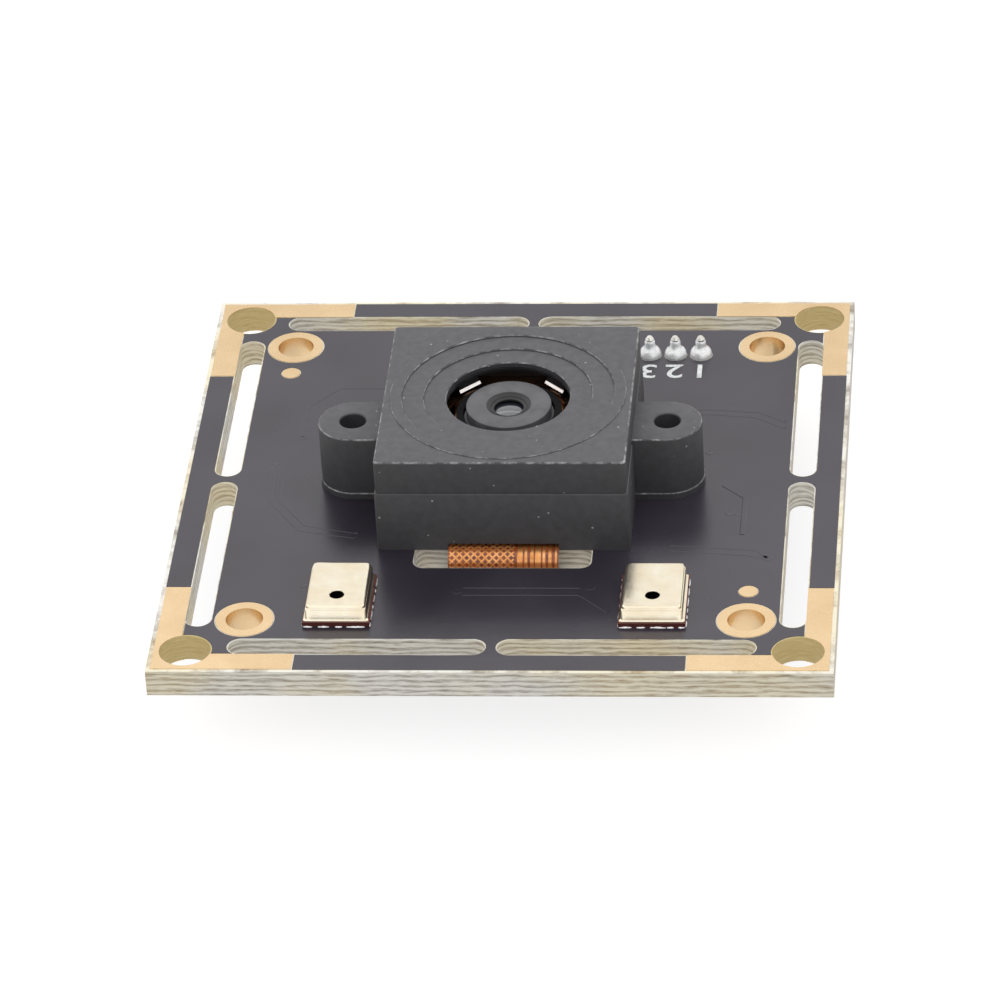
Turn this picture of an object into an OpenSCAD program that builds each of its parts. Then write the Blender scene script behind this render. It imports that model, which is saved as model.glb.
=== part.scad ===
// Autofocus camera module on a square circuit board with two microphones.
// Millimetres. Origin: centre of the board's underside. +X right, +Y away from the microphones,
// +Z out of the lens. The board's top face lies at z = board_t.

/* [Board] */
// Side length of the square board
board_size = 38; // [37:0.5:60]
// Thickness of the board
board_t = 1.6; // [0.8:0.1:2.4]
// Distance from the board's edge to the centres of the outer fixing holes
outer_inset = 2; // [1.9:0.05:2.1]
// Diameter of the outer fixing holes
outer_hole_d = 2.9; // [2:0.1:3.2]
// Distance from the board's edge to the centres of the inner fixing holes
inner_inset = 5; // [4.9:0.05:5.5]
// Diameter of the inner fixing holes, inside the plating
inner_hole_d = 2.1; // [1.5:0.05:2.4]
// Outer diameter of the plated ring around each inner hole
inner_ring_d = 3.26; // [2.8:0.02:3.4]
// Distance from the board's edge to the middle of the break-away slots
slot_inset = 2.4; // [2.3:0.05:2.6]
// Width of the break-away slots
slot_w = 1.45; // [0.8:0.05:1.6]
// Width of the bridge left between the two slots of one side
slot_bridge = 0.65; // [0.4:0.05:4]
// Distance from the board's edge to the outer end of each slot
slot_end_inset = 4.35; // [4:0.05:6]
// Length of each leg of the plated corner lands, from the board's edge
land_leg = 8.1; // [6:0.1:12]
// Bare margin between the lands and the board's edge
land_margin = 0.25; // [0.1:0.05:0.5]
// Thickness of the plated copper
plating_t = 0.04; // [0.03:0.005:0.06]
// Diameter of the plated sighting dots
dot_d = 1.05; // [0.8:0.05:1.5]

/* [Lens housing] */
// Side length of the housing's upper part
housing_size = 14.2; // [13.2:0.1:17]
// How far the lower part stands out past the upper part
housing_draft = 0.07; // [0.02:0.01:0.15]
// Depth of the parting line below the housing's shoulder
parting_drop = 2.1; // [1:0.1:3]
// Thickness of the housing's lower walls
wall_t = 1.2; // [1:0.1:2]
// Depth of the housing's roof above the focus motor
roof_t = 0.5; // [0.45:0.05:1.5]
// Distance from the housing's side to the centre of each ear hole
ear_reach = 1.9; // [1.5:0.1:4]
// Width of the ears
ear_w = 4; // [3.4:0.1:5]
// Height of the ears above the board
ear_h = 4.05; // [3.5:0.05:5]
// Diameter of the screw holes in the ears
ear_hole_d = 1.5; // [1.2:0.05:1.8]
// Diameter of the opening over the lens
mouth_d = 7.06; // [6.8:0.02:7.4]
// Diameter of the raised disc on the roof
disc_d = 13.5; // [12.6:0.1:14]
// Diameter of the upper sunk step around the opening
step_1_d = 12.1; // [11:0.1:12.4]
// Diameter of the lower sunk step around the opening
step_2_d = 9.6; // [8.5:0.1:10.5]
// Height of the raised disc above the housing's corners
disc_rise = 0.06; // [0.02:0.01:0.1]
// Depth of each sunk step
step_drop = 0.12; // [0.05:0.01:0.15]

/* [Focus motor] */
// Side length of the motor, its base and the sensor's carrier board
motor_size = 8.5; // [8.3:0.05:9]
// Height of the motor's steel yoke
motor_h = 4.15; // [4:0.05:6]
// Thickness of the yoke's sheet
yoke_t = 0.2; // [0.1:0.05:0.3]
// Width of the yoke's four inner tongues
tongue_w = 1.5; // [1:0.1:2]
// Length of the yoke's four inner tongues
tongue_h = 0.5; // [0.2:0.05:0.6]
// Height of the motor's plastic base
base_h = 0.8; // [0.8:0.05:1.2]
// Diameter of the carrier's bore that holds the lens barrel
carrier_bore_d = 5.24; // [5.2:0.01:5.3]
// Thickness of the carrier's wall
carrier_wall = 0.28; // [0.2:0.01:0.32]
// Thickness of the wound coil
coil_t = 0.3; // [0.2:0.02:0.34]
// Height of the wound coil
coil_h = 2.2; // [1.5:0.1:2.2]
// Gap between the coil and the magnets
coil_gap = 0.25; // [0.15:0.01:0.3]
// Width of each magnet's face towards the coil
magnet_w = 2.4; // [1.5:0.1:2.6]
// Thickness of the two leaf springs
leaf_t = 0.05; // [0.03:0.01:0.06]
// Travel of the lens carrier when it focuses
focus_travel = 0.25; // [0.1:0.05:0.3]

/* [Lens and sensor] */
// Diameter of the lens barrel's front
barrel_front_d = 4.88; // [4.4:0.02:5]
// Diameter of the light opening in the barrel's front face
pupil_mouth_d = 2.56; // [2:0.02:2.8]
// Diameter of the light opening at its narrowest
pupil_d = 1.7; // [1:0.05:1.8]
// Thickness of the carrier board under the sensor
carrier_board_t = 0.4; // [0.3:0.05:0.6]
// Length of the sensor chip
sensor_l = 5.6; // [4:0.1:5.8]
// Width of the sensor chip
sensor_w = 4.6; // [3:0.1:4.8]
// Thickness of the sensor chip
sensor_t = 0.2; // [0.1:0.05:0.25]
// Thickness of the filter glass
filter_t = 0.21; // [0.1:0.01:0.22]

/* [Flex and its connector] */
// Width of the flex
flex_w = 6.25; // [4:0.05:6.5]
// Thickness of the flex
flex_t = 0.12; // [0.08:0.01:0.16]
// Distance from the housing's front to the flex's vertical run
flex_drop = 0.83; // [0.8:0.01:1.2]
// Bend radius of the flex at the board's top face
flex_r_top = 0.85; // [0.6:0.05:0.85]
// Bend radius of the flex under the board
flex_r_low = 0.6; // [0.4:0.05:0.8]
// Length of the slot that the flex passes through
flex_slot_l = 10; // [9:0.1:11]
// Width of the slot that the flex passes through
flex_slot_w = 2.2; // [2:0.05:2.6]
// Corner radius of that slot
flex_slot_r = 0.6; // [0.3:0.05:0.9]
// Length of the board-to-board socket
socket_l = 7.4; // [7:0.1:9]
// Width of the board-to-board socket
socket_w = 2.9; // [2.6:0.1:3.4]
// Height of the board-to-board socket
socket_h = 0.78; // [0.7:0.02:1]

/* [Microphones] */
// Distance from the board's middle line to the middle of each microphone
mic_x = 8.8; // [8.8:0.1:11]
// Distance from the board's front edge to the middle of each microphone
mic_inset = 6.65; // [6.65:0.05:7]
// Width of a microphone
mic_w = 3.76; // [3:0.02:3.8]
// Length of a microphone
mic_l = 4.72; // [4:0.02:5]
// Height of a microphone
mic_h = 1.25; // [1:0.05:1.5]
// Thickness of a microphone's base
mic_base_t = 0.3; // [0.2:0.05:0.4]
// Diameter of the sound port
port_d = 0.8; // [0.5:0.05:1]
// Distance from the microphone's middle to its sound port
port_offset = 0.95; // [0.5:0.05:1.2]

/* [Cable header] */
// Number of pins
pin_count = 4; // [2:1:5]
// Distance between pins
pin_pitch = 1.5; // [1.25:0.05:2]
// Diameter of a pin
pin_d = 0.5; // [0.4:0.02:0.6]
// Position of the outermost pin from the board's middle line
pin_last_x = 10.14; // [9:0.02:10.4]
// Distance from the board's back edge to the row of pins
pin_inset = 5.88; // [5.5:0.02:7]
// How far a pin stands out of the board's top face
pin_tail = 1.3; // [0.8:0.05:1.5]
// Depth of the header's shell under the board
header_h = 4.3; // [3.5:0.1:6]

/* [Hidden] */
$fn = 64;
eps = 0.01;              // overrun of a cut past the face it opens
fit = 0.02;              // running or glued fit between round pieces
loose = 0.1;             // loose fit between square pieces

half = board_size / 2;
z_top = board_t;
outer_xy = half - outer_inset;
inner_xy = half - inner_inset;
slot_xy = half - slot_inset;
slot_from = slot_bridge / 2;
slot_to = half - slot_end_inset;
dot_x = inner_xy;
dot_y = inner_xy - 2.8;

// Heights of the stack between the board and the housing's roof
z_sensor = z_top + carrier_board_t;
z_base = z_top + carrier_board_t;
z_motor = z_base + base_h;
z_motor_top = z_motor + motor_h;
roof_gap = 0.05;
z_roof = z_motor_top + roof_gap;
z_shoulder = z_roof + roof_t;
z_disc = z_shoulder + disc_rise;
z_step_1 = z_disc - step_drop;
z_step_2 = z_step_1 - step_drop;
housing_half = housing_size / 2;
pocket = motor_size + 2 * loose;
skirt_half = housing_half + housing_draft;
hollow_h = 2.9;          // height of the wider hollow at the housing's foot
notch_h = 0.5;           // height of the notch that lets the flex out
ear_x = housing_half + ear_reach;

// Focus motor, counted from the yoke's foot
coil_in = carrier_bore_d / 2 + carrier_wall;
coil_out = coil_in + coil_t;
magnet_in = coil_out + coil_gap;
z_leaf_low = z_motor;
z_carrier = z_leaf_low + leaf_t + 0.05;
z_coil = z_motor + 0.9;
z_coil_top = z_coil + coil_h;
z_leaf_top = z_coil_top + 0.05;
leaf_ring_in = coil_in + 0.05;
leaf_ring_out = coil_in + 0.2;
leaf_arm_r = magnet_in - 0.15;
flange_out = coil_in + 0.12;     // rim of the carrier over the upper leaf spring
flange_h = 0.28;
z_flange = z_leaf_top + leaf_t + 0.02;
z_flange_top = z_flange + flange_h;
z_magnet = z_motor + 0.55;
yoke_gap = 0.51;         // gap between the carrier's rim and the yoke's mouth
yoke_mouth = flange_out + yoke_gap;

// Lens barrel
barrel_d = carrier_bore_d - 2 * fit;
z_barrel = z_carrier + 0.3;
z_barrel_top = z_flange_top + 0.48;
// The front starts inside the carrier where it passes the bore, and over the carrier's rim where it doesn't
front_passes_bore = barrel_front_d < carrier_bore_d;
z_barrel_neck = front_passes_bore ? z_flange_top - 0.2 : z_flange_top + loose;
pupil_depth = 0.24;
z_pupil = z_barrel_top - pupil_depth;
barrel_wall = 0.45;      // wall of the barrel around the rear lens
spacer_wall = 0.58;
rear_bore = barrel_d / 2 - barrel_wall;  // barrel bore around the spacer and the rear lens
middle_bore = rear_bore - 0.3;           // barrel bore around the middle lens
front_bore = middle_bore - 0.38;         // barrel bore around the front lens
z_front_seat = z_pupil - 0.95;
z_middle_seat = z_front_seat - 0.85;

// Flex and board-to-board connector
flex_y = -(housing_half + flex_drop);
z_flex = z_top + 0.12;
z_flex_low = -socket_h - flex_t / 2 - 0.02;
flex_slot_y = flex_y + 0.13;
socket_y = -3.2;
socket_wall = 0.3;
pad_l = socket_l + 0.2;
pad_w = socket_w + 0.3;

// Microphones and header
mic_y = -half + mic_inset;
header_l = (pin_count - 1) * pin_pitch + 3;
header_w = 3.5;
header_floor = 1;
header_wall = 0.55;
pin_y = half - pin_inset;
pin_xs = [for (i = [0 : pin_count - 1]) pin_last_x - i * pin_pitch];
header_x = pin_last_x - (pin_count - 1) * pin_pitch / 2;

// Screws
screw_d = ear_hole_d - 2 * fit - 0.01;
screw_head_d = 2.8;
screw_head_h = 0.8;
screw_depth = 3;         // length of thread inside an ear

// Chips on the underside
controller_body = 7;
controller_h = 1.4;
controller_pins = 12;    // leads on each side
memory_body = [4.9, 3.9];
memory_h = 1.4;
regulator_body = [2.9, 1.6, 1.1];
chip_gap = 0.1;          // air under a chip's body

// Small parts on the underside: [x, y, turned a quarter]
CAPACITORS = [[-8, 9.2, 0], [-8, 11, 0], [-5.2, 11.6, 0], [-2.4, 11.6, 0], [0.4, 11.6, 0], [4.4, 8.6, 1],
              [4.4, 5.8, 1], [4.4, 3, 1], [5.6, -3, 1], [5.6, -6, 1], [11.6, -6.4, 1], [-5.6, -3, 1]];
RESISTORS = [[-12.4, 6.4, 1], [-12.4, 3.4, 1], [-12.4, 9.4, 1], [12.6, 7.6, 1], [12.6, 4.6, 1],
             [-3, -11.6, 0], [0, -11.6, 0], [3, -11.6, 0], [-6, -11.6, 0], [6, -11.6, 0]];
REGULATORS = [[8.6, -3.8], [8.6, -8]];
CONTROLLER_AT = [-2, 5.2];
MEMORY_AT = [8.4, 5.6];
CRYSTAL_AT = [-9.3, 4.6];
INDUCTOR_AT = [-9.2, -5.2];

// ---------- shared shapes ----------

// Repeats its children at the four corners of a square of half side d
module at_corners(d) {
    for (x = [-d, d], y = [-d, d]) translate([x, y, 0]) children();
}

// Block centred in X and Y, standing on z
module block(size, z) {
    translate([-size[0] / 2, -size[1] / 2, z]) cube(size);
}

// Straight hole or post between two heights
module post(d, z_from, z_to) {
    translate([0, 0, z_from]) cylinder(d = d, h = z_to - z_from);
}

// Flat ring
module ring(d_out, d_in, z_from, z_to) {
    difference() {
        post(d_out, z_from, z_to);
        post(d_in, z_from - eps, z_to + eps);
    }
}

// Slot with full round ends, from x = a to x = b along X
module slot_2d(a, b, w) {
    translate([a + w / 2, -w / 2]) square([b - a - w, w]);
    for (x = [a + w / 2, b - w / 2]) translate([x, 0]) circle(d = w);
}

// Rectangle with round corners, centred
module round_rect_2d(l, w, r) {
    square([l - 2 * r, w], center = true);
    square([l, w - 2 * r], center = true);
    for (x = [-1, 1], y = [-1, 1]) translate([x * (l / 2 - r), y * (w / 2 - r)]) circle(r = r);
}

// Octagon whose flats lie d from the middle
module octagon_2d(d) {
    rotate(22.5) circle(r = d / cos(22.5), $fn = 8);
}

// Eight-sided tube
module octagon_tube(d_flat, bore_r, z_from, z_to) {
    translate([0, 0, z_from]) linear_extrude(z_to - z_from) difference() {
        octagon_2d(d_flat);
        circle(r = bore_r);
    }
}

// Half outline of one dome of a lens: a circle's cap over the line y = 0
module dome_2d(r, sag) {
    big = (r * r + sag * sag) / (2 * sag);
    intersection() {
        translate([0, sag - big]) circle(r = big, $fn = 256);
        translate([0, -eps]) square([r, sag + 2 * eps]);
    }
}

// Lens with an edge, a dome on top and a dome below, centred on z = 0
module lens(r, edge, sag_top, sag_low) {
    rotate_extrude() {
        translate([0, -edge / 2]) square([r, edge]);
        translate([0, edge / 2]) dome_2d(r, sag_top);
        translate([0, -edge / 2]) mirror([0, 1]) dome_2d(r, sag_low);
    }
}

// ---------- board ----------

module board_outline_2d() {
    difference() {
        square(board_size, center = true);
        for (a = [0, 90, 180, 270]) rotate(a) translate([0, slot_xy]) {
            slot_2d(slot_from, slot_to, slot_w);
            slot_2d(-slot_to, -slot_from, slot_w);
        }
        translate([0, flex_slot_y]) round_rect_2d(flex_slot_l, flex_slot_w, flex_slot_r);
    }
}

module circuit_board() {
    color([0.16, 0.15, 0.17]) difference() {
        linear_extrude(board_t) board_outline_2d();
        at_corners(outer_xy) post(outer_hole_d, -eps, board_t + eps);
        at_corners(inner_xy) post(inner_hole_d + 2 * plating_t, -eps, board_t + eps);
        for (x = [-ear_x, ear_x]) translate([x, 0, 0]) post(ear_hole_d + 0.3, -eps, board_t + eps);
        for (x = pin_xs) translate([x, pin_y, 0]) post(pin_d + 2 * loose, -eps, board_t + eps);
    }
}

// One L-shaped land in the corner towards +X +Y
module corner_land_2d() {
    inner_edge = slot_xy + slot_w / 2;
    outer_edge = half - land_margin;
    difference() {
        union() {
            translate([half - land_leg, inner_edge])
                square([land_leg - land_margin, outer_edge - inner_edge]);
            translate([inner_edge, half - land_leg])
                square([outer_edge - inner_edge, land_leg - land_margin]);
        }
        translate([outer_xy, outer_xy]) circle(d = outer_hole_d);
    }
}

module corner_lands() {
    color([0.93, 0.76, 0.52]) for (z = [board_t, -plating_t], a = [0, 90, 180, 270])
        translate([0, 0, z]) linear_extrude(plating_t) rotate(a) corner_land_2d();
}

module hole_rings() {
    color([0.93, 0.76, 0.52]) at_corners(inner_xy) difference() {
        union() {
            post(inner_hole_d + 2 * plating_t, -plating_t, board_t + plating_t);
            for (z = [-plating_t, board_t]) post(inner_ring_d, z, z + plating_t);
        }
        post(inner_hole_d, -plating_t - eps, board_t + plating_t + eps);
    }
}

module sighting_dots() {
    color([0.93, 0.76, 0.52]) for (s = [-1, 1])
        translate([s * dot_x, -s * dot_y, 0]) post(dot_d, z_top, z_top + plating_t);
}

// ---------- lens housing ----------

module ear(side) {
    translate([side * ear_x, 0, 0]) post(ear_w, z_top, z_top + ear_h);
    ear_root = housing_half - eps;
    translate([side > 0 ? ear_root : -ear_x, -ear_w / 2, z_top]) cube([ear_x - ear_root, ear_w, ear_h]);
}

module lens_housing() {
    skirt = 2 * skirt_half;
    hollow = 2 * (housing_half - wall_t);
    color([0.2, 0.2, 0.21]) difference() {
        union() {
            block([skirt, skirt, z_shoulder - parting_drop - z_top], z_top);
            block([housing_size, housing_size, z_shoulder - z_top], z_top);
            intersection() {
                post(disc_d, z_shoulder - eps, z_disc);
                block([housing_size, housing_size, z_disc], 0);
            }
            for (side = [-1, 1]) ear(side);
        }
        block([hollow, hollow, hollow_h + eps], z_top - eps);
        block([pocket, pocket, z_roof - z_top + eps], z_top - eps);
        post(step_1_d, z_step_1, z_disc + eps);
        post(step_2_d, z_step_2, z_disc + eps);
        post(mouth_d, z_roof - eps, z_disc + eps);
        for (side = [-1, 1]) translate([side * ear_x, 0, 0])
            post(ear_hole_d, z_top - eps, z_top + ear_h + eps);
        translate([-flex_w / 2 - 0.4, -skirt_half - eps, z_top - eps])
            cube([flex_w + 0.8, skirt_half, notch_h + eps]);
    }
}

module housing_screw() {
    difference() {
        union() {
            rotate_extrude() {
                translate([0, -screw_head_h / 2]) square([screw_head_d / 2, screw_head_h / 2]);
                translate([0, -screw_head_h]) square([screw_head_d / 2 - 0.3, screw_head_h / 2]);
                translate([screw_head_d / 2 - 0.3, -screw_head_h + 0.3]) circle(r = 0.3);
            }
            post(screw_d, -eps, z_top + screw_depth - 0.4);
            translate([0, 0, z_top + screw_depth - 0.4]) cylinder(d1 = screw_d, d2 = screw_d / 2, h = 0.4);
        }
        for (a = [0, 90]) rotate(a) block([1.5, 0.32, 0.5 + eps], -screw_head_h - eps);
    }
}

module housing_screws() {
    color([0.62, 0.62, 0.64]) for (side = [-1, 1]) translate([side * ear_x, 0, 0]) housing_screw();
}

// ---------- microphones ----------

module at_mic(side) {
    translate([side * mic_x, mic_y, z_top]) children();
}

module microphone_base() {
    difference() {
        block([mic_w, mic_l, mic_base_t], 0);
        for (a = [0, 180]) rotate(a) translate([mic_w / 2, mic_l / 4, -eps])
            cylinder(r = 0.12, h = mic_base_t + 2 * eps);
    }
}

// Drawn can: a narrow flange, a shoulder and a flat lid, hollow inside
module microphone_can() {
    flange_t = 0.12;
    shoulder_h = 0.18;
    can_t = 0.1;
    lid = [mic_w - 0.5, mic_l - 0.34];
    shoulder = [mic_w - 0.34, mic_l - 0.2];
    can_h = mic_h - mic_base_t;
    difference() {
        union() {
            block([mic_w - 0.1, mic_l - 0.06, flange_t], mic_base_t);
            block([shoulder[0], shoulder[1], can_h - shoulder_h], mic_base_t);
            block([lid[0], lid[1], can_h], mic_base_t);
        }
        block([lid[0] - 2 * can_t, lid[1] - 2 * can_t, can_h - can_t + eps], mic_base_t - eps);
        translate([0, -port_offset, mic_base_t]) cylinder(d = port_d, h = can_h + eps);
    }
}

module left_microphone_base() { color([0.36, 0.12, 0.08]) at_mic(-1) microphone_base(); }
module right_microphone_base() { color([0.36, 0.12, 0.08]) at_mic(1) microphone_base(); }
module left_microphone_can() { color([0.95, 0.88, 0.7]) at_mic(-1) microphone_can(); }
module right_microphone_can() { color([0.95, 0.88, 0.7]) at_mic(1) microphone_can(); }

// A membrane chip under the port and an amplifier chip beside it, in each microphone
module microphone_chips() {
    color([0.3, 0.32, 0.36]) for (side = [-1, 1]) at_mic(side) {
        translate([0, -port_offset, 0]) difference() {
            block([1.2, 1.2, 0.4], mic_base_t);
            post(0.7, mic_base_t + 0.1, mic_base_t + 0.4 + eps);
        }
        translate([0, 0.9, 0]) block([1, 1.2, 0.25], mic_base_t);
    }
}

// ---------- sensor and focus motor ----------

module sensor_board() {
    color([0.12, 0.3, 0.2]) block([motor_size, motor_size, carrier_board_t], z_top);
}

module image_sensor() {
    color([0.25, 0.22, 0.35]) block([sensor_l, sensor_w, sensor_t], z_sensor);
}

module motor_base() {
    ledge = 0.35;        // height of the room around the sensor chip
    seat = z_motor - filter_t - 0.02;
    color([0.1, 0.1, 0.11]) difference() {
        block([motor_size, motor_size, base_h], z_base);
        block([sensor_l + 0.8, sensor_w + 0.8, ledge + eps], z_base - eps);
        block([sensor_l - 0.6, sensor_w - 0.6, base_h + 2 * eps], z_base - eps);
        block([sensor_l + 0.5, sensor_w + 0.5, base_h], seat);
    }
}

module filter_glass() {
    color([0.55, 0.75, 0.85, 0.6])
        block([sensor_l + 0.4, sensor_w + 0.4, filter_t], z_motor - filter_t - 0.02);
}

module motor_yoke() {
    color([0.15, 0.15, 0.16]) difference() {
        union() {
            difference() {
                block([motor_size, motor_size, motor_h], z_motor);
                block([motor_size - 2 * yoke_t, motor_size - 2 * yoke_t, motor_h - yoke_t + eps],
                    z_motor - eps);
            }
            for (a = [45 : 90 : 315]) rotate(a)
                translate([yoke_mouth - 0.02, -tongue_w / 2, z_motor_top - yoke_t - tongue_h])
                    cube([0.12, tongue_w, tongue_h + eps]);
        }
        post(2 * yoke_mouth, z_motor_top - yoke_t - eps, z_motor_top + eps);
    }
}

// Four corner magnets, each bounded by the yoke's walls and a flat face towards the coil
module motor_magnets() {
    room = motor_size / 2 - yoke_t - 0.03;
    color([0.7, 0.7, 0.72]) for (a = [45 : 90 : 315])
        translate([0, 0, z_magnet]) linear_extrude(z_leaf_top - 0.01 - z_magnet) intersection() {
            rotate(a) translate([magnet_in, -magnet_w / 2]) square([magnet_in, magnet_w]);
            square(2 * room, center = true);
        }
}

// Leaf spring: square rim, round hub ring and four bent arms between them
module leaf_spring(rim_in) {
    arm_w = 0.12;
    rim = motor_size - 2 * yoke_t - 0.1;
    linear_extrude(leaf_t) {
        difference() {
            square(rim, center = true);
            circle(r = rim_in);
        }
        difference() {
            circle(r = leaf_ring_out);
            circle(r = leaf_ring_in);
        }
        for (a = [0, 90, 180, 270]) rotate(a) {
            intersection() {
                difference() {
                    circle(r = leaf_arm_r + arm_w / 2);
                    circle(r = leaf_arm_r - arm_w / 2);
                }
                polygon([[0, 0], 5 * [cos(22), sin(22)], 6 * [cos(45), sin(45)], 5 * [cos(68), sin(68)]]);
            }
            rotate(22) translate([leaf_arm_r - arm_w / 2, 0]) square([rim_in - leaf_arm_r + 0.15, arm_w]);
            rotate(68) translate([leaf_ring_out - 0.05, -arm_w])
                square([leaf_arm_r - leaf_ring_out + 0.1, arm_w]);
        }
    }
}

module lower_leaf_spring() {
    color([0.78, 0.5, 0.32]) translate([0, 0, z_leaf_low]) leaf_spring(magnet_in + 0.05);
}

module upper_leaf_spring() {
    color([0.78, 0.5, 0.32]) translate([0, 0, z_leaf_top]) leaf_spring(magnet_in + 0.05);
}

module lens_carrier() {
    bore = carrier_bore_d / 2;
    color([0.12, 0.12, 0.13]) {
        octagon_tube(coil_in, bore, z_carrier, z_leaf_top);
        octagon_tube(coil_out, bore, z_coil - 0.3, z_coil);
        ring(2 * (leaf_ring_in - 0.02), carrier_bore_d, z_leaf_top - eps, z_flange + eps);
        ring(2 * flange_out, carrier_bore_d, z_flange, z_flange_top);
    }
}

module drive_coil() {
    color([0.8, 0.42, 0.22]) translate([0, 0, z_coil]) linear_extrude(coil_h) difference() {
        octagon_2d(coil_out);
        octagon_2d(coil_in);
    }
}

module lens_barrel() {
    color([0.17, 0.17, 0.18]) difference() {
        union() {
            post(barrel_d, z_barrel, z_barrel_neck);
            post(barrel_front_d, z_barrel_neck - eps, z_barrel_top);
        }
        translate([0, 0, z_pupil])
            cylinder(d1 = pupil_d, d2 = pupil_mouth_d, h = z_barrel_top - z_pupil + eps);
        post(pupil_d, z_pupil - 0.1 - eps, z_pupil + eps);
        post(2 * front_bore, z_front_seat, z_pupil - 0.1);
        post(2 * middle_bore, z_middle_seat, z_front_seat + eps);
        post(2 * rear_bore, z_barrel - eps, z_middle_seat + eps);
    }
}

module front_lens() {
    color([0.7, 0.8, 0.85, 0.5]) translate([0, 0, z_pupil - 0.1 - 0.32])
        lens(front_bore - fit, 0.24, 0.2, 0.1);
}

module middle_lens() {
    color([0.7, 0.8, 0.85, 0.5]) translate([0, 0, z_front_seat - 0.35])
        lens(middle_bore - fit, 0.3, 0.1, 0.15);
}

module lens_spacer() {
    color([0.1, 0.1, 0.1]) 
        ring(2 * (rear_bore - fit), 2 * (rear_bore - fit - spacer_wall), z_middle_seat - 0.35,
            z_middle_seat - 0.01);
}

module rear_lens() {
    color([0.7, 0.8, 0.85, 0.5]) translate([0, 0, z_middle_seat - 0.62])
        lens(rear_bore - fit, 0.34, 0.08, 0.12);
}

// ---------- flex ----------

// Quarter of a bent strip in the Y-Z plane: quadrant [sy, sz] seen from the bend's centre
module strip_bend_2d(y, z, r, sy, sz) {
    big = r + flex_t;
    translate([y, z]) intersection() {
        difference() {
            circle(r = r + flex_t / 2);
            circle(r = r - flex_t / 2);
        }
        translate([sy < 0 ? -big : 0, sz < 0 ? -big : 0]) square(big);
    }
}

module flex_side_2d() {
    y_top = flex_y + flex_r_top;
    y_low = flex_y + flex_r_low;
    translate([y_top - eps, z_flex - flex_t / 2]) square([-motor_size / 2 - y_top + eps, flex_t]);
    strip_bend_2d(y_top, z_flex - flex_r_top, flex_r_top, -1, 1);
    translate([flex_y - flex_t / 2, z_flex_low + flex_r_low - eps])
        square([flex_t, z_flex - flex_r_top - z_flex_low - flex_r_low + 2 * eps]);
    strip_bend_2d(y_low, z_flex_low + flex_r_low, flex_r_low, -1, -1);
    translate([y_low - eps, z_flex_low - flex_t / 2]) square([socket_y - y_low, flex_t]);
}

module flex_cable() {
    color([0.85, 0.42, 0.12]) union() {
        translate([-flex_w / 2, 0, 0]) rotate([90, 0, 90]) linear_extrude(flex_w) flex_side_2d();
        translate([0, socket_y, 0]) block([pad_l, pad_w, flex_t], z_flex_low - flex_t / 2);
    }
}

module flex_stiffener() {
    color([0.75, 0.75, 0.76]) translate([0, socket_y, 0])
        block([pad_l, pad_w, 0.2], z_flex_low - flex_t / 2 - 0.2);
}

module flex_plug() {
    l = socket_l - 2 * socket_wall - 2 * 0.05;
    w = socket_w - 2 * socket_wall - 2 * 0.05;
    foot = z_flex_low + flex_t / 2;
    color([0.15, 0.15, 0.16]) translate([0, socket_y, 0]) difference() {
        block([l, w, socket_h - 0.2], foot);
        block([l - 0.8, 0.7, socket_h], foot + 0.15);
    }
}

module flex_socket() {
    color([0.85, 0.82, 0.74]) translate([0, socket_y, 0]) difference() {
        block([socket_l, socket_w, socket_h], -socket_h);
        difference() {
            block([socket_l - 2 * socket_wall, socket_w - 2 * socket_wall, socket_h - 0.12 + eps],
                -socket_h - eps);
            block([socket_l - 1.6, 0.55, socket_h], -socket_h + 0.22);
        }
    }
}

// ---------- cable header ----------

module header_shell() {
    inside = header_w - 2 * header_wall;
    color([0.93, 0.92, 0.87]) translate([header_x, pin_y, 0]) difference() {
        block([header_l, header_w, header_h], -header_h);
        block([header_l - 2 * header_wall, inside, header_h - header_floor + eps], -header_h - eps);
        for (x = [-1, 1]) translate([x * header_l / 4, header_w / 2, 0])
            block([0.7, header_w, header_h - header_floor], -header_h - eps);
        for (x = pin_xs) translate([x - header_x, 0, 0]) post(pin_d + 2 * fit, -header_h, eps);
    }
}

module header_pins() {
    color([0.8, 0.78, 0.72]) for (x = pin_xs) translate([x, pin_y, 0]) {
        post(pin_d, -header_h + 0.8, z_top + pin_tail - 0.15);
        translate([0, 0, z_top + pin_tail - 0.15]) cylinder(d1 = pin_d, d2 = pin_d - 0.2, h = 0.15);
    }
}

// Solder cone around each pin's tail
module solder_joints() {
    pad_r = 0.58;
    neck_r = pin_d / 2 + 0.07;
    color([0.8, 0.8, 0.82]) for (x = pin_xs) translate([x, pin_y, z_top]) difference() {
        union() {
            cylinder(r = pad_r, h = 0.3);
            translate([0, 0, 0.3 - eps]) cylinder(r1 = pad_r, r2 = neck_r, h = 0.55);
        }
        translate([0, 0, -eps]) cylinder(d = pin_d + fit, h = 1);
    }
}

// ---------- small parts on the underside ----------

// Gull-wing lead reaching towards +X from x = 0: shoulder, leg and foot
module gull_lead(w, reach, drop) {
    lead_t = 0.15;
    foot = 0.5;
    translate([0, -w / 2, -drop - lead_t / 2]) cube([reach - foot, w, lead_t]);
    translate([reach - foot - lead_t, -w / 2, -drop - lead_t / 2]) cube([lead_t, w, drop + lead_t / 2]);
    translate([reach - foot - lead_t, -w / 2, -lead_t]) cube([foot + lead_t, w, lead_t]);
}

module controller_chip() {
    color([0.1, 0.1, 0.11]) translate([CONTROLLER_AT[0], CONTROLLER_AT[1], 0]) difference() {
        block([controller_body, controller_body, controller_h], -controller_h - chip_gap);
        translate([-2.6, 2.6, 0]) post(0.6, -controller_h - chip_gap - eps, -controller_h - chip_gap / 2);
    }
}

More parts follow.
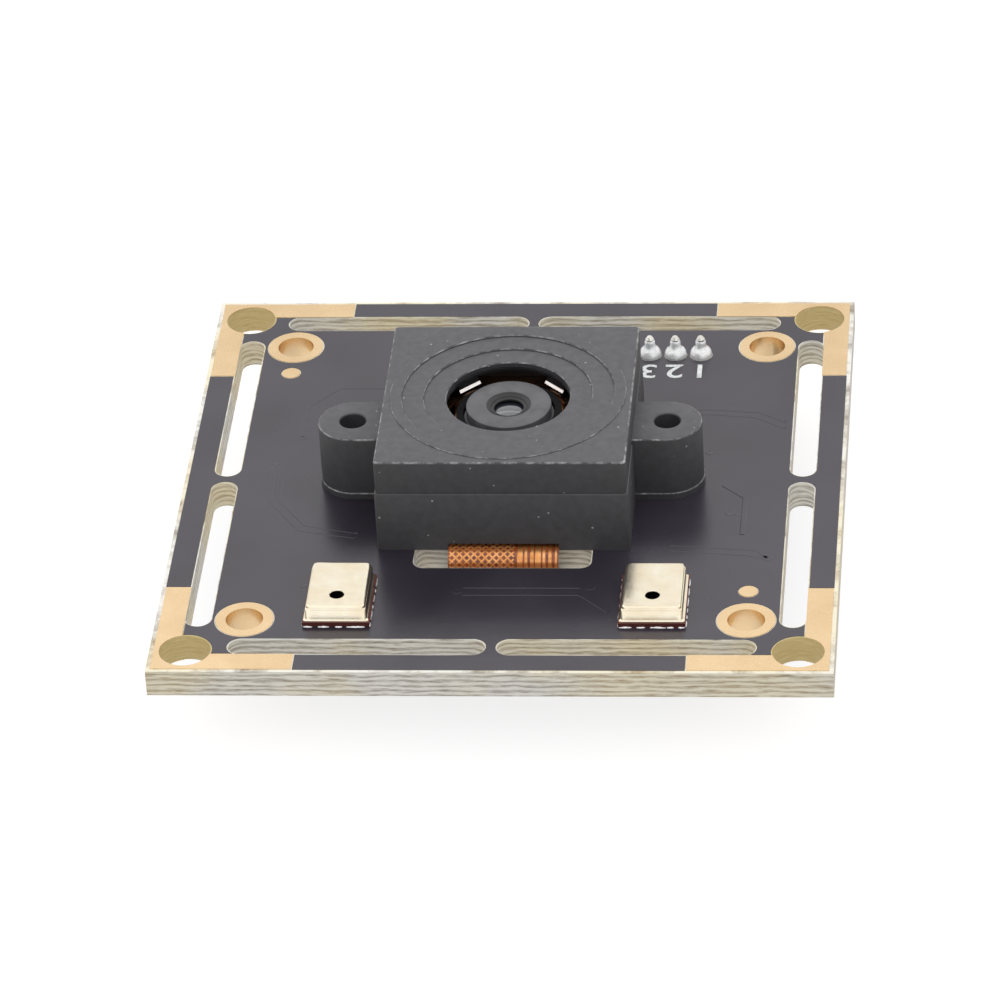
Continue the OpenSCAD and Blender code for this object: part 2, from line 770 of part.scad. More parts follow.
module controller_leads() {
    color([0.75, 0.75, 0.77]) translate([CONTROLLER_AT[0], CONTROLLER_AT[1], 0]) for (a = [0, 90, 180, 270])
        rotate(a) for (i = [0 : controller_pins - 1])
            translate([controller_body / 2, (i - (controller_pins - 1) / 2) * 0.5, 0])
                gull_lead(0.2, 1, 0.75);
}

module memory_chip() {
    color([0.1, 0.1, 0.11]) translate([MEMORY_AT[0], MEMORY_AT[1], 0]) difference() {
        block([memory_body[0], memory_body[1], memory_h], -memory_h - chip_gap);
        translate([-1.8, 1.2, 0]) post(0.6, -memory_h - chip_gap - eps, -memory_h - chip_gap / 2);
    }
}

module memory_leads() {
    color([0.75, 0.75, 0.77]) translate([MEMORY_AT[0], MEMORY_AT[1], 0]) for (a = [90, 270])
        rotate(a) for (i = [-1.5 : 1.5]) translate([memory_body[1] / 2, i * 1.27, 0])
            gull_lead(0.4, 1.05, 0.75);
}

module voltage_regulators() {
    color([0.1, 0.1, 0.11]) for (at = REGULATORS) translate([at[0], at[1], 0]) {
        block(regulator_body, -regulator_body[2] - chip_gap / 2);
        for (x = [-0.95, 0, 0.95]) translate([x, regulator_body[1] / 2, 0]) rotate(90)
            gull_lead(0.4, 0.75, 0.6);
        for (x = [-0.95, 0.95]) translate([x, -regulator_body[1] / 2, 0]) rotate(-90)
            gull_lead(0.4, 0.75, 0.6);
    }
}

module crystal() {
    color([0.78, 0.78, 0.8]) translate([CRYSTAL_AT[0], CRYSTAL_AT[1], 0]) {
        block([3.2, 2.5, 0.5], -0.5);
        block([2.9, 2.2, 0.3], -0.8 + eps);
    }
}

module inductor() {
    color([0.22, 0.22, 0.23]) translate([INDUCTOR_AT[0], INDUCTOR_AT[1], 0]) {
        block([3, 3, 0.25], -0.25);
        post(2.2, -1, -0.25 + eps);
        post(2.9, -1.3, -1 + eps);
    }
}

// Two-ended chip part: a body and slightly larger metal ends
module chip_part(l, w, h) {
    end = 0.35;
    block([l - 0.1, w - 0.06, h - 0.03], -h + 0.03);
    for (s = [-1, 1]) translate([s * (l - end) / 2, 0, 0]) block([end, w, h], -h);
}

module capacitors() {
    color([0.66, 0.55, 0.4]) for (at = CAPACITORS)
        translate([at[0], at[1], 0]) rotate(90 * at[2]) chip_part(1.6, 0.8, 0.8);
}

module resistors() {
    color([0.14, 0.14, 0.15]) for (at = RESISTORS)
        translate([at[0], at[1], 0]) rotate(90 * at[2]) chip_part(1.6, 0.8, 0.45);
}

circuit_board();
corner_lands();
hole_rings();
sighting_dots();
lens_housing();
housing_screws();
left_microphone_base();
left_microphone_can();
right_microphone_base();
right_microphone_can();
microphone_chips();
sensor_board();
image_sensor();
filter_glass();
motor_base();
motor_yoke();
motor_magnets();
lower_leaf_spring();
upper_leaf_spring();
lens_carrier();
drive_coil();
lens_barrel();
front_lens();
middle_lens();
rear_lens();
lens_spacer();
flex_cable();
flex_stiffener();
flex_plug();
flex_socket();
header_shell();
header_pins();
solder_joints();
controller_chip();
controller_leads();
memory_chip();
memory_leads();
voltage_regulators();
crystal();
inductor();
capacitors();
resistors();
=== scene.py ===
"""Looks of the autofocus camera module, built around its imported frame.

Lengths here are in millimetres, in the frame's own axes; Shape.piece() turns them into metres.
"""
import math
import random

import bmesh
import bpy
from mathutils import Matrix, Vector
from mathutils.geometry import delaunay_2d_cdt


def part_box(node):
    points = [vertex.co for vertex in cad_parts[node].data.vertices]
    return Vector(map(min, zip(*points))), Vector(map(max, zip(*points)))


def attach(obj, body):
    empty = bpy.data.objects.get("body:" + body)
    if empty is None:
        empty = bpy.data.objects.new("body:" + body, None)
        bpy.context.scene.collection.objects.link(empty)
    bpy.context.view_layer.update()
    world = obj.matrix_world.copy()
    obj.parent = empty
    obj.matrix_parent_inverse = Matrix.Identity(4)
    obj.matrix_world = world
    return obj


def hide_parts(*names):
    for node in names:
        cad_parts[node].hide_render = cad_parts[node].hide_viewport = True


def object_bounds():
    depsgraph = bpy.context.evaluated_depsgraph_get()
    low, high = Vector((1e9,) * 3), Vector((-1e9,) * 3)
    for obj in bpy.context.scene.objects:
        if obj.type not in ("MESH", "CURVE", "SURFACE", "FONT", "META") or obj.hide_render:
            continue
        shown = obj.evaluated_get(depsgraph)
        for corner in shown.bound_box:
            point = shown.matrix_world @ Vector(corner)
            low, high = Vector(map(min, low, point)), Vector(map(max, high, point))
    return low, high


MM = 0.001
BOARD = "board_assembly"
LENS = "focus_lens"
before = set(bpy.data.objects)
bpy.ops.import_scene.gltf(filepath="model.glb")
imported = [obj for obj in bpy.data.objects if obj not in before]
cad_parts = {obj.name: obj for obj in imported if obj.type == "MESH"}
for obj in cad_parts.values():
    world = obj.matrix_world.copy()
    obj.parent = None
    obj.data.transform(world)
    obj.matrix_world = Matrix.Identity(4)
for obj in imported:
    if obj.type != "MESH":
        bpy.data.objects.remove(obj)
cad_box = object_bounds()


# ---------- places from the frame ----------

def box_mm(node):
    """Lowest and highest corner of a CAD node, in millimetres."""
    low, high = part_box(node)
    return low / MM, high / MM


def middle(node):
    """Centre of a CAD node's box, in millimetres."""
    low, high = box_mm(node)
    return (low + high) / 2


BOARD_HIGH = box_mm("circuit_board")[1]
HALF = BOARD_HIGH.x                         # half the board's side
Z_TOP = BOARD_HIGH.z                        # board's top face; its bottom face is at 0
OUTER_XY = HALF - 2                         # outer fixing holes
OUTER_HOLE_R = 1.45
INNER_XY = HALF - 5                         # inner fixing holes with their rings
RING_R = box_mm("hole_rings")[1].x - INNER_XY
SLOT_XY = HALF - 2.4                        # middle line of the break-away slots
SLOT_W = 1.45
SLOT_FROM = 0.325                           # slots run from here to SLOT_TO on both sides of the middle
SLOT_TO = HALF - 4.35
LAND_LEG = 8.1                              # length of a corner land's leg
LAND_MARGIN = 0.25                          # bare laminate outside the lands
DOT_R = 0.525
DOT_Y = INNER_XY - 2.8
MASK_T = 0.025
MASK_EDGE = HALF - 0.22
EAR_R = 2.0
EAR_X = box_mm("lens_housing")[1].x - EAR_R
EAR_TOP = Z_TOP + 4.05
SCREW_HOLE_R, SCREW_HEAD_R = 0.95, 1.45     # openings of the lacquer at the housing's screws
HOUSING_HALF = EAR_X - 1.9
MOUTH_R = 3.53                              # round opening over the lens
STEP_R_LOW, STEP_R_HIGH = 4.8, 6.05         # sunk steps round the mouth
DISC_R = 6.75                               # raised disc
REGULATOR_APART = 4.2                       # between the middles of the two regulators
REGULATOR_WIDTH = 1.6
FLEX_LOW = box_mm("flex_cable")[0]
FLEX_T = 0.12
FLEX_Y = FLEX_LOW.y + FLEX_T / 2
FLEX_HALF = 3.125
FLEX_SLOT = (10.0, 2.2, 0.6)                # length, width and corner radius
FLEX_SLOT_Y = FLEX_Y + 0.13
PIN_D = 0.5
PIN_PITCH = 1.5
PIN_Y = middle("header_pins").y
PIN_XS = [box_mm("header_pins")[0].x + PIN_D / 2 + PIN_PITCH * i for i in range(4)]


# ---------- mesh building ----------

class Shape:
    """Collects lofts, lathes and strips in millimetres and makes one Blender object of them."""

    def __init__(self):
        self.verts = []
        self.faces = []
        self.slots = []

    def add(self, verts, faces, slot=0, place=None):
        start = len(self.verts)
        for v in verts:
            v = Vector(v)
            self.verts.append(place @ v if place else v)
        for face in faces:
            self.faces.append([start + i for i in face])
            self.slots.append(slot)

    def loft(self, rings, slot=0, caps=(True, True), place=None, ring_slots=None, closed=False):
        """Skins rings of equally many points. ring_slots gives a slot for each band between rings."""
        count = len(rings[0])
        verts = [p for ring in rings for p in ring]
        start_of_bands = len(self.faces)
        bands = len(rings) if closed else len(rings) - 1
        faces = []
        for b in range(bands):
            a, c = b * count, (b + 1) % len(rings) * count
            for i in range(count):
                j = (i + 1) % count
                faces.append([a + i, a + j, c + j, c + i])
        self.add(verts, faces, slot, place)
        if ring_slots:
            for b in range(bands):
                for i in range(count):
                    self.slots[start_of_bands + b * count + i] = ring_slots[b]
        start = len(self.verts) - len(verts)
        if caps[0] and not closed:
            self.faces.append([start + i for i in reversed(range(count))])
            self.slots.append(slot)
        if caps[1] and not closed:
            self.faces.append([start + (len(rings) - 1) * count + i for i in range(count)])
            self.slots.append(slot)

    def lathe(self, profile, at=(0, 0), segments=96, slot=0, slots=None, caps=(True, True)):
        """Turns (radius, height) points around a vertical axis."""
        rings = [circle(r, z, segments, at) for r, z in profile]
        self.loft(rings, slot, caps, ring_slots=slots)

    def soft_box(self, low, high, round_xy, bevel, slot=0, place=None):
        """Block with round upright edges and a bevel at top and bottom."""
        cx, cy = (low[0] + high[0]) / 2, (low[1] + high[1]) / 2
        hx, hy = (high[0] - low[0]) / 2, (high[1] - low[1]) / 2
        rings = []
        for inset, z in bevel_steps(bevel, low[2], high[2]):
            rings.append(round_rect(hx - inset, hy - inset, max(round_xy - inset, 0.01), z, (cx, cy)))
        self.loft(rings, slot, place=place)

    def strip(self, points, ups, half_w, t, slot=0):
        """Flat track along points. ups are the surface's outward directions at the points."""
        rings = []
        for i, p in enumerate(points):
            ahead = points[min(i + 1, len(points) - 1)]
            behind = points[max(i - 1, 0)]
            side = (ahead - behind).cross(ups[i]).normalized()
            up = ups[i] * t
            top = side * half_w * 0.8
            foot = side * half_w
            rings.append([p - foot, p + foot, p + top + up, p - top + up])
        self.loft(rings, slot)

    def piece(self, name, body, looks, replaces=(), sharp=32):
        """Makes the object, lets it ride on a body, and gives it its looks."""
        mesh = bpy.data.meshes.new(name)
        mesh.from_pydata([v * MM for v in self.verts], [], self.faces)
        for look in looks:
            mesh.materials.append(LOOKS[look])
        mesh.polygons.foreach_set("material_index", self.slots)
        mesh.validate()
        fix_normals(mesh)
        mesh.polygons.foreach_set("use_smooth", [True] * len(mesh.polygons))
        mesh.set_sharp_from_angle(angle=math.radians(sharp))
        obj = add_object(name, mesh)
        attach(obj, body)
        for node in replaces:
            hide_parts(node)
        return obj


def add_object(name, data):
    """New object of the scene."""
    obj = bpy.data.objects.new(name, data)
    bpy.context.scene.collection.objects.link(obj)
    return obj


def fix_normals(mesh):
    """Turns every closed shell's faces outwards."""
    bm = bmesh.new()
    bm.from_mesh(mesh)
    bmesh.ops.recalc_face_normals(bm, faces=bm.faces)
    bm.to_mesh(mesh)
    bm.free()


def footprint(low, high):
    """Centre and half sides, seen from above."""
    return ((low.x + high.x) / 2, (low.y + high.y) / 2), (high.x - low.x) / 2, (high.y - low.y) / 2


def over(z, profile):
    """Profile whose heights were given from z."""
    return [(r, z + rise) for r, rise in profile]


def around(steps):
    """Even angles, once round."""
    return [2 * math.pi * i / steps for i in range(steps)]


def circle(r, z, segments=96, at=(0, 0)):
    turn = 2 * math.pi / segments
    return [(at[0] + r * math.cos(i * turn), at[1] + r * math.sin(i * turn), z) for i in range(segments)]


def round_rect(hx, hy, r, z, at=(0, 0), corner=6):
    """Ring of a rectangle with round corners, from the +X +Y corner on, anticlockwise."""
    points = []
    for quarter, (sx, sy) in enumerate([(1, 1), (-1, 1), (-1, -1), (1, -1)]):
        for i in range(corner + 1):
            a = math.pi / 2 * (quarter + i / corner)
            x = at[0] + sx * (hx - r) + r * math.cos(a)
            y = at[1] + sy * (hy - r) + r * math.sin(a)
            points.append((x, y, z))
    return points


def bevel_steps(bevel, z_low, z_high, parts=3):
    """(inset, height) pairs of a rounded edge below and above a straight wall."""
    steps = []
    for i in range(parts + 1):
        a = math.pi / 2 * i / parts
        steps.append((bevel * (1 - math.sin(a)), z_low + bevel * (1 - math.cos(a))))
    return steps + [(inset, z_high + z_low - z) for inset, z in reversed(steps)]


# ---------- material building ----------

class Nodes:
    """Short calls that build a node tree."""

    def __init__(self, tree):
        self.tree = tree

    def node(self, kind, **inputs):
        node = self.tree.nodes.new(kind)
        for socket, value in inputs.items():
            self.put(value, node.inputs[socket])
        return node

    def put(self, value, socket):
        if isinstance(value, bpy.types.NodeSocket):
            self.tree.links.new(value, socket)
        else:
            socket.default_value = value

    def math(self, operation, a, b=0.0, c=0.0):
        node = self.node("ShaderNodeMath")
        node.operation = operation
        for value, socket in zip((a, b, c), node.inputs):
            self.put(value, socket)
        return node.outputs[0]

    def step(self, value, low, high, start=0.0, end=1.0):
        """start below low, end above high, smooth between."""
        node = self.node("ShaderNodeMapRange")
        node.interpolation_type = "SMOOTHSTEP"
        self.put(value, node.inputs["Value"])
        node.inputs["From Min"].default_value = low
        node.inputs["From Max"].default_value = high
        node.inputs["To Min"].default_value = start
        node.inputs["To Max"].default_value = end
        return node.outputs["Result"]

    def ramp(self, value, stops):
        node = self.node("ShaderNodeValToRGB")
        self.put(value, node.inputs["Fac"])
        elements = node.color_ramp.elements
        while len(elements) < len(stops):
            elements.new(0.5)
        for element, (place, colour) in zip(elements, stops):
            element.position = place
            element.color = (*colour, 1)
        return node.outputs["Color"]

    def mix(self, factor, a, b):
        node = self.node("ShaderNodeMix")
        node.data_type = "RGBA"
        for value, index in ((factor, 0), (a, 6), (b, 7)):
            if isinstance(value, tuple):
                value = (*value, 1)
            self.put(value, node.inputs[index])
        return node.outputs[2]

    def mix_value(self, factor, a, b):
        node = self.node("ShaderNodeMix")
        for value, index in ((factor, 0), (a, 2), (b, 3)):
            self.put(value, node.inputs[index])
        return node.outputs[0]


class Look(Nodes):
    """A node material around one Principled shader, with textures at real scale."""

    def __init__(self, name, colour, roughness=0.5, metallic=0.0, **sockets):
        self.material = bpy.data.materials.new(name)
        self.material.use_nodes = True
        super().__init__(self.material.node_tree)
        self.shader = self.tree.nodes["Principled BSDF"]
        self.set("Base Color", (*colour, 1))
        self.set("Roughness", roughness)
        self.set("Metallic", metallic)
        for socket, value in sockets.items():
            self.set(socket.replace("_", " "), value)
        self.coords = self.node("ShaderNodeTexCoord").outputs["Object"]

    def set(self, socket, value):
        self.shader.inputs[socket].default_value = value

    def noise(self, size, detail=3.0, stretch=(1, 1, 1), rough=0.5):
        """Noise whose features are about size millimetres, longer along an axis by stretch."""
        scaled = self.node("ShaderNodeVectorMath", Vector=self.coords)
        scaled.operation = "MULTIPLY"
        scaled.inputs[1].default_value = [1 / (size * MM * s) for s in stretch]
        node = self.node("ShaderNodeTexNoise", Vector=scaled.outputs[0], Scale=1.0, Detail=detail)
        node.inputs["Roughness"].default_value = rough
        return node.outputs["Fac"]

    def specks(self, apart, radius):
        """1 inside round specks of that radius that lie about apart millimetres from each other."""
        node = self.node("ShaderNodeTexVoronoi", Vector=self.coords, Scale=1 / (apart * MM))
        edge = radius / apart
        return self.math("SUBTRACT", 1.0, self.step(node.outputs["Distance"], edge * 0.7, edge))

    def axes(self):
        """X, Y and Z in millimetres."""
        split = self.node("ShaderNodeSeparateXYZ", Vector=self.coords)
        return [self.math("DIVIDE", split.outputs[i], MM) for i in range(3)]

    def upward(self):
        """1 on faces that look up, 0 on upright ones."""
        normal = self.node("ShaderNodeNewGeometry").outputs["Normal"]
        return self.step(self.node("ShaderNodeSeparateXYZ", Vector=normal).outputs[2], 0.55, 0.9)

    def colour(self, socket):
        self.put(socket, self.shader.inputs["Base Color"])

    def wander(self, size, low, high, detail=3):
        """Roughness that wanders between low and high in patches of about size millimetres."""
        self.roughness(self.noise(size, detail), low, high)

    def grain(self, size, depth, strength=0.5, detail=3):
        """Grain of about size millimetres, depth millimetres deep."""
        self.bump(self.noise(size, detail), depth, strength)

    def mottle(self, size, low, high, detail=3):
        """Colour that wanders between low and high in patches of about size millimetres."""
        self.colour(self.ramp(self.noise(size, detail), [(0.3, low), (0.7, high)]))

    def roughness(self, value, low, high):
        """Roughness that wanders between low and high as value goes from 0 to 1."""
        node = self.node("ShaderNodeMapRange")
        self.put(value, node.inputs["Value"])
        node.inputs["To Min"].default_value = low
        node.inputs["To Max"].default_value = high
        self.put(node.outputs["Result"], self.shader.inputs["Roughness"])

    def bump(self, height, depth, strength=1.0):
        """Bump whose full height is depth millimetres."""
        node = self.node("ShaderNodeBump", Height=height, Distance=depth * MM, Strength=strength)
        self.put(node.outputs["Normal"], self.shader.inputs["Normal"])


def near_corner_hole(look, radius):
    """1 inside a circle around each outer fixing hole, 0 outside."""
    x, y, _ = look.axes()
    dx = look.math("SUBTRACT", look.math("ABSOLUTE", x), OUTER_XY)
    dy = look.math("SUBTRACT", look.math("ABSOLUTE", y), OUTER_XY)
    squares = look.math("ADD", look.math("MULTIPLY", dx, dx), look.math("MULTIPLY", dy, dy))
    return look.math("SUBTRACT", 1.0, look.step(squares, (radius - 0.05) ** 2, (radius + 0.05) ** 2))


def glass_fibre():
    """Cut edge of the laminate: wavy strands of cloth in resin, warmer inside the outer fixing holes."""
    look = Look("glass_fibre", (0.7, 0.68, 0.62), 0.6)
    _, _, z = look.axes()
    waves = look.math("SUBTRACT", look.noise(1.1, 3, (2.2, 2.2, 0.45)), 0.5)
    bands = look.math("PINGPONG", look.math("MULTIPLY_ADD", waves, 0.5, z), 0.17)
    layers = look.step(bands, 0.01, 0.16)
    streaks = look.noise(0.11, 4, (9, 9, 0.7), 0.7)
    fibre = look.math("MULTIPLY_ADD", streaks, 1.15, look.math("MULTIPLY_ADD", layers, 0.3, -0.24))
    cool = look.ramp(fibre, [(0.2, (0.3, 0.26, 0.21)), (0.42, (0.6, 0.57, 0.51)), (0.6, (0.84, 0.82, 0.76))])
    warm = look.ramp(fibre, [(0.2, (0.42, 0.32, 0.18)), (0.42, (0.66, 0.58, 0.42)), (0.6, (0.86, 0.8, 0.62))])
    walls = look.mix(look.step(look.noise(7, 2), 0.4, 0.65), cool, warm)
    bore = look.ramp(streaks, [(0.3, (0.56, 0.42, 0.17)), (0.7, (0.78, 0.66, 0.36))])
    look.colour(look.mix(near_corner_hole(look, OUTER_HOLE_R + 0.3), walls, bore))
    look.roughness(streaks, 0.45, 0.75)
    look.bump(fibre, 0.03, 0.5)
    return look.material


def solder_mask():
    """Satin black-violet lacquer with a faint weave showing through."""
    look = Look("solder_mask", (0.03, 0.027, 0.032), 0.25, Specular_IOR_Level=0.75)
    look.mottle(6, (0.02, 0.016, 0.025), (0.036, 0.03, 0.043), 2)
    grain = look.noise(0.09, 2)
    weave = look.noise(0.45, 1, (1.4, 0.7, 1))
    look.wander(1.6, 0.2, 0.3)
    look.bump(look.math("ADD", look.math("MULTIPLY", grain, 0.35), weave), 0.006, 0.35)
    return look.material


def housing_plastic():
    """Filled black moulding plastic with painted light: paler on the faces that look up than on the drafted
    sides, as if lit from above.
    """
    look = Look("housing_plastic", (0.08, 0.08, 0.085), 0.5, Specular_IOR_Level=0.45)
    mottled = look.noise(0.5, 4)
    # Painted light: the top colour is lighter than the side colour, standing in for the light on the top
    # faces.
    top = look.ramp(mottled, [(0.3, (0.084, 0.082, 0.089)), (0.7, (0.108, 0.105, 0.114))])
    side = look.ramp(mottled, [(0.3, (0.046, 0.045, 0.049)), (0.7, (0.058, 0.057, 0.062))])
    painted_top_light = look.mix(look.upward(), side, top)
    look.colour(look.mix(look.specks(1.1, 0.075), painted_top_light, (0.3, 0.3, 0.31)))
    look.wander(0.3, 0.46, 0.6)
    look.bump(look.noise(0.09, 3, rough=0.65), 0.014, 0.6)
    return look.material


def worn_edge():
    """Rounded edges of the moulding, worn paler in broken patches all the way round: partly wear, partly
    painted highlight.
    """
    look = Look("worn_edge", (0.2, 0.2, 0.21), 0.4)
    breaks = look.noise(0.6, 4, rough=0.7)
    # The pale stops are wear and painted highlight on the edges.
    wear_and_highlight = [(0.4, (0.055, 0.055, 0.06)), (0.52, (0.16, 0.16, 0.165)), (0.7, (0.4, 0.4, 0.41))]
    look.colour(look.ramp(breaks, wear_and_highlight))
    look.roughness(breaks, 0.5, 0.3)
    look.grain(0.1, 0.01, 0.6)
    return look.material


def plain(name, base, rough, metallic, mottle, wander, grain, **sockets):
    """Look whose colour, roughness and surface each wander once: values for Look.mottle, wander and grain."""
    look = Look(name, base, rough, metallic, **sockets)
    look.mottle(*mottle)
    look.wander(*wander)
    look.grain(*grain)
    return look.material


def metal(name, low, high, rough, grain=0.3, depth=0.004, metallic=1.0):
    """Metal whose colour wanders between low and high."""
    wander = (grain, rough * 0.75, rough * 1.35)
    return plain(name, high, rough, metallic, (grain * 5, low, high), wander, (grain * 0.3, depth))


SHINE_OF_DARK = 60                          # plastics below 0.5 / 60 in colour get less than the usual shine


def plastic(name, low, high, rough, grain=0.15, depth=0.008):
    """Moulded or coated material with fine grain and slight mottling."""
    wander = (grain * 2, rough * 0.85, min(rough * 1.2, 1))
    shine = min(0.5, SHINE_OF_DARK * low[0])
    mottle = (grain * 8, low, high)
    return plain(name, high, rough, 0.0, mottle, wander, (grain, depth), Specular_IOR_Level=shine)


def regulator_case():
    """Two small regulators: matt resin bodies between tinned leads."""
    look = Look("regulator_case", (0.03, 0.03, 0.031), 0.55)
    _, y, _ = look.axes()
    from_middle = look.math("ABSOLUTE", look.math("SUBTRACT", y, middle("voltage_regulators").y))
    from_body = look.math("ABSOLUTE", look.math("SUBTRACT", from_middle, REGULATOR_APART / 2))
    lead = look.math("GREATER_THAN", from_body, REGULATOR_WIDTH / 2 + 0.02)
    resin = look.ramp(look.noise(0.6, 3), [(0.3, (0.022, 0.022, 0.023)), (0.7, (0.045, 0.045, 0.047))])
    tin = look.ramp(look.noise(0.5, 3), [(0.3, (0.62, 0.61, 0.57)), (0.7, (0.86, 0.85, 0.8))])
    look.colour(look.mix(lead, resin, tin))
    look.put(lead, look.shader.inputs["Metallic"])
    look.wander(0.2, 0.35, 0.6)
    look.grain(0.08, 0.006)
    return look.material


def layered_base():
    """Dark red laminate of the microphones' bases."""
    look = Look("layered_base", (0.16, 0.03, 0.02), 0.45)
    _, _, z = look.axes()
    layers = look.math("PINGPONG", look.math("MULTIPLY_ADD", look.noise(0.5), 0.08, z), 0.05)
    bands = look.step(layers, 0.01, 0.04)
    look.colour(look.ramp(bands, [(0, (0.012, 0.005, 0.006)), (1, (0.16, 0.025, 0.018))]))
    look.wander(0.3, 0.35, 0.55)
    look.grain(0.1, 0.01)
    return look.material


def lens_glass():
    """Coated front lens: dark, dense glass."""
    look = Look("lens_glass", (0.02, 0.022, 0.03), 0.03, IOR=1.9)
    look.mottle(1.2, (0.012, 0.014, 0.02), (0.03, 0.034, 0.045), 1)
    look.set("Coat Weight", 1.0)
    look.set("Coat Roughness", 0.02)
    look.grain(0.4, 0.0005, 0.2, 1)
    return look.material


def clear_glass(name, tint):
    look = Look(name, tint, 0.05, Transmission_Weight=0.85, IOR=1.5)
    look.mottle(1.0, tint, tuple(0.9 * c for c in tint), 1)
    look.grain(0.5, 0.0005, 0.2, 1)
    return look.material


def sensor_surface():
    """Pixel field of the sensor: dark with a violet sheen and fine rows."""
    look = Look("sensor_surface", (0.05, 0.03, 0.08), 0.2, 0.3)
    x, y, _ = look.axes()
    rows = look.math("PINGPONG", look.math("ADD", x, y), 0.02)
    look.colour(look.ramp(look.step(rows, 0, 0.02), [(0, (0.03, 0.02, 0.06)), (1, (0.09, 0.05, 0.12))]))
    look.bump(rows, 0.002, 0.3)
    return look.material


def label_ink():
    """White printed ink, slightly broken."""
    look = Look("label_ink", (0.7, 0.72, 0.72), 0.6)
    broken = look.noise(0.12, 3, rough=0.7)
    look.colour(look.ramp(broken, [(0.3, (0.4, 0.42, 0.42)), (0.6, (0.82, 0.84, 0.84))]))
    look.grain(0.06, 0.006, 0.5, 2)
    return look.material


LOOKS = {
    "fibre": glass_fibre(), "mask": solder_mask(), "plastic": housing_plastic(),
    "edge": worn_edge(), "base": layered_base(), "front_glass": lens_glass(),
    "ink": label_ink(), "regulator": regulator_case(), "sensor": sensor_surface(),
    "glass": clear_glass("clear_glass", (0.9, 0.94, 0.96)),
    "filter": clear_glass("filter_glass_look", (0.55, 0.8, 0.85)),
    "gold": plain("gold_plating", (0.9, 0.67, 0.41), 0.24, 1.0,
                  (2.2, (0.735, 0.53, 0.305), (0.8, 0.595, 0.355)), (0.5, 0.2, 0.32, 4), (0.05, 0.003, 0.4)),
    "can": plain("microphone_can_look", (0.86, 0.77, 0.6), 0.16, 1.0,
                 (1.4, (0.82, 0.71, 0.52), (0.9, 0.83, 0.68)), (0.4, 0.1, 0.24, 4), (0.25, 0.004)),
    "film": plain("flex_film", (0.35, 0.09, 0.02), 0.3, 0.0, (0.5, (0.17, 0.03, 0.01), (0.42, 0.1, 0.02)),
                  (0.2, 0.25, 0.4), (0.12, 0.006, 0.4, 2), Coat_Weight=0.6, Coat_Roughness=0.15),
    "solder": metal("solder_look", (0.88, 0.89, 0.9), (1.0, 1.0, 1.0), 0.26, 0.2, 0.02, 0.35),
    "tin": metal("tin_look", (0.66, 0.65, 0.6), (0.86, 0.85, 0.8), 0.26),
    "steel": metal("steel_look", (0.42, 0.42, 0.44), (0.66, 0.66, 0.68), 0.3),
    "bright": metal("bright_steel", (0.95, 0.85, 0.8), (1.0, 0.97, 0.95), 0.2),
    # Leaf bronze and coil copper are much darker than bare metal: painted shade for the dark gap inside the
    # motor.
    "leaf": metal("shade_darkened_leaf_bronze", (0.3, 0.14, 0.07), (0.5, 0.26, 0.14), 0.28),
    "copper": metal("shade_darkened_coil_copper", (0.16, 0.06, 0.03), (0.3, 0.12, 0.065), 0.3),
    "track": plain("track_copper", (0.85, 0.36, 0.09), 0.28, 0.8,
                   (0.6, (0.78, 0.3, 0.08), (0.98, 0.5, 0.2)), (0.15, 0.2, 0.4), (0.06, 0.004)),
    "magnet": metal("magnet_nickel", (0.5, 0.5, 0.5), (0.72, 0.72, 0.7), 0.3),
    "silicon": metal("silicon_look", (0.16, 0.17, 0.2), (0.3, 0.31, 0.35), 0.22),
    "black": plastic("motor_plastic_look", (0.006, 0.006, 0.007), (0.014, 0.014, 0.015), 0.5),
    "carrier": plastic("carrier_plastic", (0.003, 0.003, 0.0035), (0.008, 0.008, 0.009), 0.75),
    "barrel": plastic("barrel_plastic", (0.082, 0.082, 0.087), (0.125, 0.125, 0.132), 0.5, 0.1),
    "cone": plastic("barrel_cone", (0.012, 0.011, 0.012), (0.024, 0.023, 0.024), 0.4, 0.1),
    "resin": plastic("chip_resin_look", (0.02, 0.02, 0.021), (0.042, 0.042, 0.044), 0.6, 0.08),
    "green": plastic("sensor_board_look", (0.02, 0.08, 0.04), (0.035, 0.13, 0.07), 0.4, 0.3),
    "ivory": plastic("ivory_plastic", (0.74, 0.69, 0.55), (0.86, 0.82, 0.7), 0.45, 0.12),
    "white": plastic("header_plastic", (0.8, 0.78, 0.7), (0.9, 0.89, 0.83), 0.42, 0.15),
    "ferrite": plastic("ferrite_look", (0.03, 0.03, 0.032), (0.07, 0.07, 0.072), 0.55, 0.1),
    "ceramic": plastic("capacitor_ceramic", (0.34, 0.22, 0.12), (0.48, 0.34, 0.2), 0.5, 0.1),
    "film_black": plastic("resistor_top", (0.012, 0.012, 0.014), (0.03, 0.03, 0.034), 0.4, 0.1),
    "alumina": plastic("resistor_alumina", (0.7, 0.7, 0.68), (0.86, 0.86, 0.84), 0.5, 0.1),
}


# ---------- camera, floor and light ----------

CAMERA_AT = Vector((-0.6, -2.1, 1.6))       # point that the camera looks at
CAMERA_DISTANCE = 362
CAMERA_TURN = math.radians(-6.37)
CAMERA_RISE = math.radians(33.98)
CAMERA_ROLL = math.radians(-3.54)
CAMERA_LENS = 228.16


